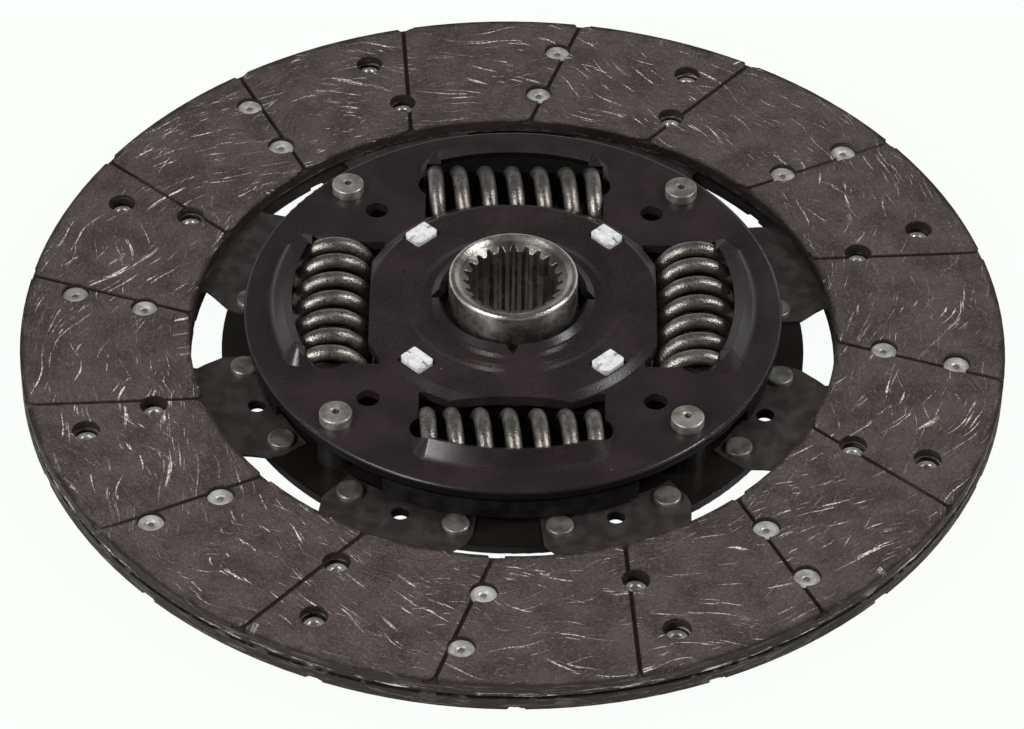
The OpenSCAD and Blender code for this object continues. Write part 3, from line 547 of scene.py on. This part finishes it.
@dataclass(frozen=True)
class SpringWire:
    """Drawn and tempered spring wire, shot peened and oiled: satin steel with a granular
    highlight, and painted shade that blackens it inside the coil."""

    steel: str = "#a8a29c"
    skin: str = "#857f7a"
    coil_shade: str = "#100e0d"
    size: SpringSize = SpringSize()
    cloud_mm: float = 3.0
    # Shot peening leaves dimples of about 0.3 mm, drawn at 0.45 mm so that they show.
    peen_mm: float = 0.45
    peen_relief_mm: float = 0.12
    # Where the painted shade starts and is full, inward from the coil's middle radius.
    coil_shade_edge_mm: tuple[float, float] = (-0.2, 1.0)
    corner_mm: float = 0.15

    def _inside(self, c: Canvas) -> Any:
        """Tells where the wire faces the inside of its coil, where shade is painted.

        Args:
            c: The canvas.

        Returns:
            Output socket, 1 well inside the coil.
        """
        spread = c.add("VectorMath", [c.place], operation="ABSOLUTE")
        parts = c.add("SeparateXYZ", [spread], "X")
        outward = c.add("Math", [parts, parts.node.outputs["Y"]], operation="MAXIMUM")
        section = c.add("CombineXYZ", {"X": outward, "Y": c.level})
        axis = (self.size.axis_mm * MM, self.size.level_mm * MM, 0)
        away = c.add("VectorMath", [section, axis], "Value", operation="DISTANCE")
        wire = [(self.size.coil_r_mm - inward) * MM for inward in self.coil_shade_edge_mm]
        return c.add("MapRange", [away, *wire, 0.0, 0.92], **SMOOTH)

    def build(self) -> bpy.types.Material:
        """Builds the springs' material.

        Returns:
            The material.
        """
        c = Canvas.start("oiled_spring_wire", Metallic=0.9)
        cloud = c.add(
            "TexNoise",
            {"Vector": c.place, "Scale": per_mm(self.cloud_mm), "Detail": 3.0, "Roughness": 0.6},
        )
        peen = c.add(
            "TexNoise",
            {"Vector": c.place, "Scale": per_mm(self.peen_mm), "Detail": 2.0, "Roughness": 0.65},
        )
        shade = c.add("MapRange", [cloud, 0.35, 0.65, 0.0, 1.0], **SMOOTH)
        pits = c.add("MapRange", [peen, 0.46, 0.3, 0.0, 0.7], **SMOOTH)
        # The peening pits are dark, and painted shade blackens the wire inside the coil.
        dark_and_shade = c.add("Math", [pits, self._inside(c)], operation="MAXIMUM")
        tone: Any = self.skin
        for share, colour in ((shade, self.steel), (dark_and_shade, self.coil_shade)):
            layer = {"Factor_Float": share, "A_Color": tone, "B_Color": colour}
            tone = c.add("Mix", layer, "Result_Color", **COLOUR)
        rough = c.add("MapRange", [peen, 0.3, 0.7, 0.26, 0.4], **SMOOTH)
        normal = c.add("Bevel", {"Radius": self.corner_mm * MM}, samples=4)
        depth = self.peen_relief_mm * MM
        normal = c.add("Bump", {"Height": peen, "Distance": depth, "Normal": normal})
        return c.finish(tone, rough, normal)


@dataclass(frozen=True)
class SatinSteel:
    """Plain steel of one tone, with a fine grain: pins, rivets, segments, flange and washers.

    It can have pressed marks on given axes, with painted shade in their hollow cores, and be
    black below a given height.
    """

    name: str
    bright: str
    dull: str
    rough_low: float = 0.34
    rough_high: float = 0.5
    grain_mm: float = 0.5
    grain_depth_mm: float = 0.02
    edge_mm: float = 0.12
    metallic: float = 0.9
    axes_mm: tuple[tuple[float, float], ...] = ()
    mark_mm: float = 1.35
    core_mm: float = 0.6
    core_edge_mm: float = 0.15
    core_share: float = 0.85
    mark_relief_mm: float = 0.5
    hollow_shade: str = "#0e0c0b"
    black_below_mm: float = 0.0
    black_edge_mm: float = 0.3
    black: str = "#171413"
    cloud_mm: float = 4.0

    def _centre_marks(self, c: Canvas) -> tuple[Any, Any]:
        """Draws a pressed cone on the axis of each pin, with painted shade in its hollow core.

        Args:
            c: The canvas.

        Returns:
            Output sockets of the cone's height, from 0 in its middle to 1, and of the painted
            shade in the core.
        """
        nearest: Any = 1.0
        for x, y in self.axes_mm:
            axis = (x * MM, y * MM, 0)
            away = c.add("VectorMath", [c.flat, axis], "Value", operation="DISTANCE")
            nearest = c.add("Math", [nearest, away], operation="MINIMUM")
        cone = c.add("MapRange", [nearest, self.core_mm * MM, self.mark_mm * MM, 0.0, 1.0])
        edge = [(self.core_mm + self.core_edge_mm) * MM, self.core_mm * MM]
        hollow_shade = c.add("MapRange", [nearest, *edge, 0.0, self.core_share], **SMOOTH)
        return cone, hollow_shade

    def build(self) -> bpy.types.Material:
        """Builds the steel's material.

        Returns:
            The material.
        """
        c = Canvas.start(self.name, Metallic=self.metallic)
        grain = c.add(
            "TexNoise",
            {"Vector": c.place, "Scale": per_mm(self.grain_mm), "Detail": 3.0, "Roughness": 0.6},
        )
        cloud = c.add(
            "TexNoise", {"Vector": c.place, "Scale": per_mm(self.cloud_mm), "Detail": 2.0}
        )
        rough = c.add("MapRange", [grain, 0.3, 0.7, self.rough_low, self.rough_high], **SMOOTH)
        normal = c.add("Bevel", {"Radius": self.edge_mm * MM}, samples=4)
        depth = self.grain_depth_mm * MM
        normal = c.add("Bump", {"Height": grain, "Distance": depth, "Normal": normal})
        layers = [
            (c.add("MapRange", [cloud, 0.35, 0.65, 0.0, 1.0], **SMOOTH), self.bright),
            (c.add("MapRange", [grain, 0.45, 0.25, 0.0, 0.5], **SMOOTH), self.dull),
        ]
        if self.axes_mm:
            cone, hollow_shade = self._centre_marks(c)
            layers.append((hollow_shade, self.hollow_shade))
            depth = self.mark_relief_mm * MM
            normal = c.add("Bump", {"Height": cone, "Distance": depth, "Normal": normal})
        if self.black_below_mm:
            top = self.black_below_mm * MM
            band = [top, top - self.black_edge_mm * MM]
            under = c.add("MapRange", [c.level, *band, 0.0, 0.9], **SMOOTH)
            layers.append((under, self.black))
        tone: Any = self.dull
        for share, colour in layers:
            layer = {"Factor_Float": share, "A_Color": tone, "B_Color": colour}
            tone = c.add("Mix", layer, "Result_Color", **COLOUR)
        return c.finish(tone, rough, normal)


@dataclass(frozen=True)
class TurnedSteel:
    """Turned and broached steel of the hub: bright, with fine lathe rings around the axis."""

    bright: str = "#f4efe8"
    dull: str = "#d2ccc4"
    bore_tone: str = "#5a4e47"
    # Lathe feed of about 0.1 mm, drawn three times as coarse so that it shows.
    feed_mm: float = 0.3
    feed_relief_mm: float = 0.04
    # Nicks and specks of about 0.2 mm, drawn a little coarser.
    nick_mm: float = 0.35
    nick_relief_mm: float = 0.05
    cloud_mm: float = 4.0
    corner_mm: float = 0.3
    # Inside this radius the broached teeth are darker.
    clean_from_mm: float = 13.4
    bore_tone_from_mm: float = 12.9

    def build(self) -> bpy.types.Material:
        """Builds the hub's material.

        Returns:
            The material.
        """
        # A quarter turn lays the long way of the highlight across the lathe rings.
        c = Canvas.start(
            "turned_hub_steel", Metallic=1.0, Anisotropic=0.6, Anisotropic_Rotation=0.25
        )
        around = c.add("Tangent", direction_type="RADIAL", axis="Z")
        c.material.node_tree.links.new(around, c.shader.inputs["Tangent"])
        section = c.add("CombineXYZ", {"X": c.radius, "Y": c.level})
        rings = c.add(
            "TexNoise",
            {"Vector": section, "Scale": per_mm(self.feed_mm), "Detail": 2.0, "Roughness": 0.6},
        )
        nicks = c.add(
            "TexNoise",
            {"Vector": c.place, "Scale": per_mm(self.nick_mm), "Detail": 3.0, "Roughness": 0.7},
        )
        cloud = c.add(
            "TexNoise", {"Vector": c.place, "Scale": per_mm(self.cloud_mm), "Detail": 2.0}
        )
        shade = c.add("MapRange", [cloud, 0.36, 0.64, 0.0, 1.0], **SMOOTH)
        marks = c.add("MapRange", [rings, 0.5, 0.3, 0.0, 0.35], **SMOOTH)
        bore = [self.clean_from_mm * MM, self.bore_tone_from_mm * MM]
        inside = c.add("MapRange", [c.radius, *bore, 0.0, 0.55], **SMOOTH)
        tone: Any = self.dull
        for share, colour in ((shade, self.bright), (marks, self.dull), (inside, self.bore_tone)):
            layer = {"Factor_Float": share, "A_Color": tone, "B_Color": colour}
            tone = c.add("Mix", layer, "Result_Color", **COLOUR)
        rough = c.add("MapRange", [cloud, 0.3, 0.7, 0.23, 0.3], **SMOOTH)
        normal = c.add("Bevel", {"Radius": self.corner_mm * MM}, samples=6)
        for height, depth_mm in ((rings, self.feed_relief_mm), (nicks, self.nick_relief_mm)):
            bump = {"Height": height, "Distance": depth_mm * MM, "Normal": normal}
            normal = c.add("Bump", bump)
        return c.finish(tone, rough, normal)


@dataclass(frozen=True)
class MouldedPlastic:
    """Glass-filled nylon, moulded and left as it came: off-white, slightly uneven satin, and
    darker below a given height, where it lies inside the damper."""

    name: str = "moulded_white_nylon"
    pale: str = "#e2e2e4"
    shade: str = "#c6c6c9"
    lower_tone: str = "#37322e"
    pale_above_mm: float = 21.0
    lower_edge_mm: float = 1.5
    cloud_mm: float = 1.6
    fine_mm: float = 0.4
    fine_relief_mm: float = 0.03
    corner_mm: float = 0.2

    def build(self) -> bpy.types.Material:
        """Builds the plastic's material.

        Returns:
            The material.
        """
        c = Canvas.start(self.name, IOR=1.53, Specular_IOR_Level=0.45)
        cloud = c.add(
            "TexNoise",
            {"Vector": c.place, "Scale": per_mm(self.cloud_mm), "Detail": 3.0, "Roughness": 0.6},
        )
        fine = c.add(
            "TexNoise",
            {"Vector": c.place, "Scale": per_mm(self.fine_mm), "Detail": 2.0, "Roughness": 0.6},
        )
        clear = c.add("MapRange", [cloud, 0.38, 0.62, 0.0, 1.0], **SMOOTH)
        top = self.pale_above_mm * MM
        band = [top, top - self.lower_edge_mm * MM]
        lowered = c.add("MapRange", [c.level, *band, 0.0, 0.9], **SMOOTH)
        tone: Any = self.shade
        for share, colour in ((clear, self.pale), (lowered, self.lower_tone)):
            layer = {"Factor_Float": share, "A_Color": tone, "B_Color": colour}
            tone = c.add("Mix", layer, "Result_Color", **COLOUR)
        rough = c.add("MapRange", [fine, 0.3, 0.7, 0.42, 0.55], **SMOOTH)
        normal = c.add("Bevel", {"Radius": self.corner_mm * MM}, samples=4)
        depth = self.fine_relief_mm * MM
        normal = c.add("Bump", {"Height": fine, "Distance": depth, "Normal": normal})
        return c.finish(tone, rough, normal)


def dress(nodes: list[str], finish: bpy.types.Material) -> None:
    """Gives CAD nodes a finish and reports them.

    Args:
        nodes: Names of the CAD nodes.
        finish: Their new material.
    """
    for name in nodes:
        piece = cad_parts[name]
        piece.data.materials.clear()
        piece.data.materials.append(finish)
        log.info("dressed %s in %s", name, finish.name)


@dataclass
class FrictionRings:
    """The two facings, which are alike."""

    nodes: tuple[str, str] = ("front_facing", "rear_facing")

    def build(self) -> None:
        """Dresses both facings in pressed lining."""
        dress(list(self.nodes), PressedLining().build())


@dataclass
class CushionSegments:
    """Eight waved segments of blued spring steel between the facings."""

    count: int = 8

    def build(self) -> None:
        """Dresses the segments."""
        finish = SatinSteel(
            "blued_segment_sheet",
            "#4b4444",
            "#3a3333",
            rough_low=0.36,
            grain_depth_mm=0.015,
            edge_mm=0.1,
            metallic=0.35,
        )
        dress([f"cushion_segment_{i + 1}" for i in range(self.count)], finish.build())


@dataclass
class DamperPlates:
    """The cover plate and the drive plate."""

    def build(self) -> None:
        """Dresses the cover plate in worn black sheet, and the drive plate in a darker copy of it
        whose darkness is painted shade.
        """
        dress(["cover_plate"], BlackSteelSheet().build())
        # The drive plate lies under the cover, so its darker copy of the sheet is painted shade.
        shaded_drive_sheet = BlackSteelSheet("shaded_black_phosphated_drive_sheet", "#171311", "#221d1b", rim_mm=71.2)
        dress(["drive_plate"], shaded_drive_sheet.build())


@dataclass
class DamperSprings:
    """Four coil springs with closed and ground ends, one in each window."""

    count: int = 4
    size: SpringSize = SpringSize()
    half_turns: int = 11
    end_rise_mm: float = 4.2
    grind_mm: float = 0.8
    # Facets around the wire, and steps along each half turn.
    facets: int = 20
    steps: int = 24
    weld_mm: float = 0.001
    smooth_deg: float = 40.0
    travel_deg: float = 12.0
    end_room_mm: float = 1.25

    def _rises(self) -> list[float]:
        """Gives the rise of each half turn, in millimetres."""
        closed = 2 * self.end_rise_mm - 2 * self.grind_mm
        step = (self.size.length_mm - closed) / self.half_turns
        ends = [self.end_rise_mm / 2] * 2
        return ends + [step] * self.half_turns + ends

    def _coil(self) -> bmesh.types.BMesh:
        """Winds one spring along Z, centred on the origin, and grinds its ends flat.

        Returns:
            The spring's mesh, in metres.
        """
        bm = bmesh.new()
        start = -(self.size.length_mm / 2 + self.grind_mm) * MM
        upright = Matrix.Rotation(math.pi / 2, 4, "X")
        place = Matrix.Translation((self.size.coil_r_mm * MM, 0, start)) @ upright
        radius = self.size.wire_mm / 2 * MM
        bmesh.ops.create_circle(bm, segments=self.facets, radius=radius, matrix=place)
        last: list[Any] = list(bm.verts) + list(bm.edges)
        for rise in self._rises():
            last = bmesh.ops.spin(
                bm,
                geom=last,
                cent=(0, 0, 0),
                axis=(0, 0, 1),
                dvec=(0, 0, rise * MM / self.steps),
                angle=math.pi,
                steps=self.steps,
                use_duplicate=False,
            )["geom_last"]
        bmesh.ops.remove_doubles(bm, verts=bm.verts, dist=self.weld_mm * MM)
        bmesh.ops.holes_fill(bm, edges=bm.edges, sides=0)
        for end in (-1, 1):
            height = end * self.size.length_mm / 2 * MM
            cut = bmesh.ops.bisect_plane(
                bm,
                geom=list(bm.verts) + list(bm.edges) + list(bm.faces),
                plane_co=(0, 0, height),
                plane_no=(0, 0, end),
                clear_outer=True,
            )["geom_cut"]
            rim = [g for g in cut if isinstance(g, bmesh.types.BMEdge)]
            bmesh.ops.holes_fill(bm, edges=rim, sides=0)
        bmesh.ops.recalc_face_normals(bm, faces=bm.faces)
        return bm

    def build(self) -> None:
        """Builds, dresses and hangs the four springs on the springs' body."""
        finish = SpringWire().build()
        bm = self._coil()
        seat = Vector((self.size.axis_mm * MM, 0, self.size.level_mm * MM))
        lying = Matrix.Translation(seat) @ Matrix.Rotation(-math.pi / 2, 4, "X")
        for i in range(self.count):
            name = f"spring_coil_{i + 1}"
            mesh = bpy.data.meshes.new(name)
            bm.to_mesh(mesh)
            turn = Matrix.Rotation(2 * math.pi / self.count * i, 4, "Z")
            mesh.transform(turn @ lying)
            mesh.shade_smooth()
            mesh.set_sharp_from_angle(angle=math.radians(self.smooth_deg))
            mesh.materials.append(finish)
            coil = bpy.data.objects.new(name, mesh)
            bpy.context.scene.collection.objects.link(coil)
            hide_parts(f"damper_spring_{i + 1}")
            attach(coil, Body.SPRINGS.value)
            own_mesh(coil)
            log.info("wound %s with %d faces", name, len(mesh.polygons))
        bm.free()


@dataclass
class SplinedHub:
    """The hub sleeve and its flange."""

    def build(self) -> None:
        """Dresses the sleeve in turned steel and the flange in dark steel."""
        dress(["hub"], TurnedSteel().build())
        flange = SatinSteel(
            "hardened_flange_steel",
            "#2c282a",
            "#1a1718",
            rough_low=0.4,
            rough_high=0.55,
            metallic=0.5,
        )
        dress(["hub_flange"], flange.build())


@dataclass
class PinsAndRivets:
    """Stop pins, segment rivets and the two sets of facing rivets."""

    pins: int = 4
    pin_ring_mm: float = 58.8
    pin_first_deg: float = 45.0
    cover_top_mm: float = 19.2
    pairs: int = 8
    first_deg: float = -3.75
    lean_deg: float = 1.95
    rivet_rings_mm: tuple[float, float] = (90.6, 108.3)

    def _pin_axes(self) -> tuple[tuple[float, float], ...]:
        """Gives the axes of the stop pins, in millimetres."""
        turns = (math.radians(self.pin_first_deg + 360 / self.pins * i) for i in range(self.pins))
        ring = self.pin_ring_mm
        return tuple((ring * math.cos(turn), ring * math.sin(turn)) for turn in turns)

    def _stamped_axes(self) -> tuple[tuple[float, float], ...]:
        """Gives the axes of the front facing's rivets, in millimetres."""
        places = []
        for i in range(self.pairs):
            for ring, lean in zip(self.rivet_rings_mm, (0.0, self.lean_deg)):
                turn = math.radians(self.first_deg + 360 / self.pairs * i - lean)
                places.append((ring * math.cos(turn), ring * math.sin(turn)))
        return tuple(places)

    def build(self) -> None:
        """Dresses each kind of fastener in its own steel."""
        pin = SatinSteel(
            "cold_headed_pin_steel",
            "#c4c0ba",
            "#8f8a84",
            grain_mm=0.6,
            grain_depth_mm=0.05,
            edge_mm=0.15,
            metallic=0.75,
            axes_mm=self._pin_axes(),
            mark_mm=1.6,
            core_mm=0.75,
            black_below_mm=self.cover_top_mm,
        )
        dress([f"stop_pin_{i + 1}" for i in range(self.pins)], pin.build())
        head = SatinSteel(
            "cold_headed_rivet_steel",
            "#aeaaa4",
            "#76726d",
            rough_high=0.48,
            grain_mm=0.8,
            grain_depth_mm=0.05,
            edge_mm=0.2,
            metallic=0.75,
        )
        dress(["segment_rivets"], head.build())
        stamped = SatinSteel(
            "stamped_zinc_plated_rivet",
            "#e4e2df",
            "#b0adaa",
            grain_mm=0.8,
            grain_depth_mm=0.12,
            edge_mm=0.06,
            metallic=0.5,
            axes_mm=self._stamped_axes(),
            mark_mm=1.6,
            core_mm=0.75,
            core_share=0.7,
        )
        dress(["front_facing_rivets"], stamped.build())
        # The rolled tails sit in shade down in their holes, so this steel is lighter than the
        # stamped heads' as painted light.
        rolled_with_painted_light = SatinSteel(
            "rolled_zinc_plated_rivet_painted_light",
            "#f2f0ed",
            "#b6b3b0",
            rough_low=0.26,
            rough_high=0.4,
            grain_mm=0.7,
            grain_depth_mm=0.12,
            edge_mm=0.06,
            metallic=0.6,
        )
        dress(["rear_facing_rivets"], rolled_with_painted_light.build())


@dataclass
class FrictionParts:
    """The plastic ring with its four tabs, the bush, and the two sheet rings."""

    def build(self) -> None:
        """Dresses the friction parts."""
        dress(["friction_ring"], MouldedPlastic().build())
        bush = MouldedPlastic("moulded_bush_nylon", "#d9d5cb", "#c4bfb4")
        dress(["rear_friction_bush"], bush.build())
        washer = SatinSteel("plain_spring_sheet", "#6a686a", "#454345")
        dress(["support_washer", "diaphragm_spring"], washer.build())


@dataclass(frozen=True)
class Lamp:
    """One soft box: where it stands, what it aims at, its size and its power."""

    name: str
    place: tuple[float, float, float]
    width: float
    height: float
    watts: float
    aim: tuple[float, float, float] = (0.0, 0.0, 0.012)
    colour: str = "#ffffff"

    def build(self) -> None:
        """Adds the lamp, out of the camera's sight."""
        data = bpy.data.lights.new(self.name, "AREA")
        data.shape = "RECTANGLE"
        data.size = self.width
        data.size_y = self.height
        data.energy = self.watts
        data.color = linear(self.colour)[:3]
        lamp = bpy.data.objects.new(self.name, data)
        lamp.location = self.place
        toward = Vector(self.aim) - Vector(self.place)
        lamp.rotation_euler = toward.to_track_quat("-Z", "Y").to_euler()
        lamp.visible_camera = False
        bpy.context.scene.collection.objects.link(lamp)
        log.info("lamp %s", self.name)


@dataclass
class Studio:
    """Pale floor, white surroundings and soft lamps."""

    floor_size: float = 12.0
    floor_below_mm: float = 0.2
    floor_colour: str = "#f4f5f4"
    white: str = "#fbfefb"
    shadow_share: float = 0.02
    dark_within_mm: float = 60.0
    dark_behind_mm: float = 12.0
    mirrored_dark_mm: float = 118.0
    shadow_edge_mm: float = 5.0
    # The even light is strongest from above and behind, as in the photograph.
    even_light: tuple[float, float] = (0.1, 0.85)
    even_light_from: tuple[float, float, float] = (0.0, 0.55, 0.83)
    even_light_band: tuple[float, float] = (-0.4, 0.9)
    # A reflection sees a white horizon, a dark ceiling between the soft boxes, and the
    # dark room behind the camera.
    horizon: float = 0.6
    ceiling: float = 0.07
    ceiling_band: tuple[float, float] = (0.1, 0.5)
    room: float = 0.05
    room_band: tuple[float, float] = (-0.95, -0.55)

    def _floor(self) -> None:
        """Lays the floor: white to the camera and to reflections, and a plain pale sheet to
        light. Under the damper it is left to its own deep shadow."""
        bm = bmesh.new()
        bmesh.ops.create_grid(bm, x_segments=1, y_segments=1, size=self.floor_size / 2)
        mesh = bpy.data.meshes.new("floor")
        bm.to_mesh(mesh)
        bm.free()
        floor = bpy.data.objects.new("floor", mesh)
        floor.location = (0, 0, -self.floor_below_mm * MM)
        bpy.context.scene.collection.objects.link(floor)
        material = bpy.data.materials.new("pale_floor")
        material.use_nodes = True
        tree = material.node_tree
        tree.nodes.clear()
        place = add(tree, "TexCoord", output="Object")
        middle = (0, self.dark_behind_mm * MM, 0)
        radius = add(tree, "VectorMath", [place, middle], "Value", operation="DISTANCE")
        rays = add(tree, "LightPath", output="Is Camera Ray")
        glossy = rays.node.outputs["Is Glossy Ray"]
        through = rays.node.outputs["Is Transmission Ray"]
        shown = add(tree, "Math", [rays, through], operation="MAXIMUM")
        share = self._glow(tree, radius, shown, self.dark_within_mm)
        mirrored = self._glow(tree, radius, glossy, self.mirrored_dark_mm)
        share = add(tree, "Math", [share, mirrored], operation="MAXIMUM")
        sheet = add(tree, "BsdfDiffuse", {"Color": self.floor_colour})
        glow = add(tree, "Emission", {"Color": self.white, "Strength": 1.0})
        lit = add(tree, "MixShader", [share, sheet, glow])
        below = add(tree, "NewGeometry", output="Backfacing")
        clear = add(tree, "BsdfTransparent")
        both = add(tree, "MixShader", [below, lit, clear])
        add(tree, "OutputMaterial", {"Surface": both})
        mesh.materials.append(material)

    def _glow(self, tree: bpy.types.NodeTree, radius: Any, rays: Any, dark_mm: float) -> Any:
        """Tells how white some rays see the floor, which is in deep shadow near the middle.

        Args:
            tree: The node tree.
            radius: Socket with the distance from the middle of the shadow.
            rays: Socket that is 1 for the rays.
            dark_mm: Radius of the deep shadow.

        Returns:
            Output socket, 0 where the floor is only what the lamps light.
        """
        edge = [dark_mm * MM, (dark_mm + self.shadow_edge_mm) * MM]
        share = 1 - self.shadow_share
        open_floor = add(tree, "MapRange", [radius, *edge, 0.0, share], **SMOOTH)
        return add(tree, "Math", [rays, open_floor], operation="MULTIPLY")

    def _world(self) -> None:
        """Sets the surroundings: white where they are seen, and an even soft light elsewhere."""
        world = bpy.data.worlds.new("studio")
        bpy.context.scene.world = world
        world.use_nodes = True
        tree = world.node_tree
        tree.nodes.clear()
        camera = add(tree, "LightPath", output="Is Camera Ray")
        glossy = camera.node.outputs["Is Glossy Ray"]
        direction = add(tree, "TexCoord", output="Generated")
        height = add(tree, "SeparateXYZ", [direction], "Z")
        sky = [*self.ceiling_band, self.horizon, self.ceiling]
        mirrored = add(tree, "MapRange", [height, *sky], **SMOOTH)
        behind = [*self.room_band, self.room, 1.0]
        room = add(tree, "MapRange", [height.node.outputs["Y"], *behind], **SMOOTH)
        mirrored = add(tree, "Math", [mirrored, room], operation="MULTIPLY")
        aim = self.even_light_from
        toward = add(tree, "VectorMath", [direction, aim], "Value", operation="DOT_PRODUCT")
        even = add(tree, "MapRange", [toward, *self.even_light_band, *self.even_light])
        strength: Any = even
        for rays, brightness in ((glossy, mirrored), (camera, 1.0)):
            layer = {"Factor_Float": rays, "A_Float": strength, "B_Float": brightness}
            strength = add(tree, "Mix", layer, "Result_Float")
        background = add(tree, "Background", {"Color": self.white, "Strength": strength})
        add(tree, "OutputWorld", {"Surface": background})

    def build(self) -> None:
        """Builds the floor, the surroundings and the lamps."""
        self._floor()
        self._world()
        for lamp in (
            Lamp("left_soft_box", (-0.72, -0.52, 0.8), 0.4, 0.4, 4.4),
            Lamp("right_soft_box", (0.92, -0.1, 0.88), 0.26, 0.26, 5.4),
            Lamp("low_soft_box", (-0.685, -0.909, 0.63), 0.12, 0.16, 3.8),
        ):
            lamp.build()
        bpy.context.scene.view_settings.view_transform = "Standard"


@dataclass(frozen=True)
class PhotoCamera:
    """The photograph's camera: a long lens that looks down on the disc, turned slightly."""

    lens_mm: float = 159.17
    sensor_mm: float = 36.0
    sight: tuple[float, float] = (0.01, 100.0)
    distance: float = 1.10611
    elevation_deg: float = 42.27
    roll_deg: float = -0.707
    shift: tuple[float, float] = (-0.00078, -0.0364)
    target: tuple[float, float, float] = (0.0, 0.0, 0.01146)

    def build(self) -> None:
        """Places the camera and makes it the scene's own."""
        data = bpy.data.cameras.new("photo_camera")
        data.lens = self.lens_mm
        data.sensor_width = self.sensor_mm
        data.shift_x, data.shift_y = self.shift
        data.clip_start, data.clip_end = self.sight
        tilt = math.radians(self.elevation_deg)
        back = Vector((0, -math.cos(tilt), math.sin(tilt)))
        up = Vector((0, math.sin(tilt), math.cos(tilt)))
        right = Vector((1, 0, 0))
        roll = math.radians(self.roll_deg)
        x_axis = right * math.cos(roll) - up * math.sin(roll)
        y_axis = right * math.sin(roll) + up * math.cos(roll)
        turned = Matrix((x_axis, y_axis, back)).transposed().to_4x4()
        camera = bpy.data.objects.new("photo_camera", data)
        stand = Vector(self.target) + back * self.distance
        camera.matrix_world = Matrix.Translation(stand) @ turned
        bpy.context.scene.collection.objects.link(camera)
        bpy.context.scene.camera = camera


def main() -> None:
    """Builds the scene piece by piece."""
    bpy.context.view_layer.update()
    PhotoCamera().build()
    for part in (
        FrictionRings(),
        CushionSegments(),
        DamperPlates(),
        DamperSprings(),
        SplinedHub(),
        PinsAndRivets(),
        FrictionParts(),
        Studio(),
    ):
        log.info("building %s", type(part).__name__)
        part.build()
    bpy.context.view_layer.update()


if __name__ == "__main__":
    main()
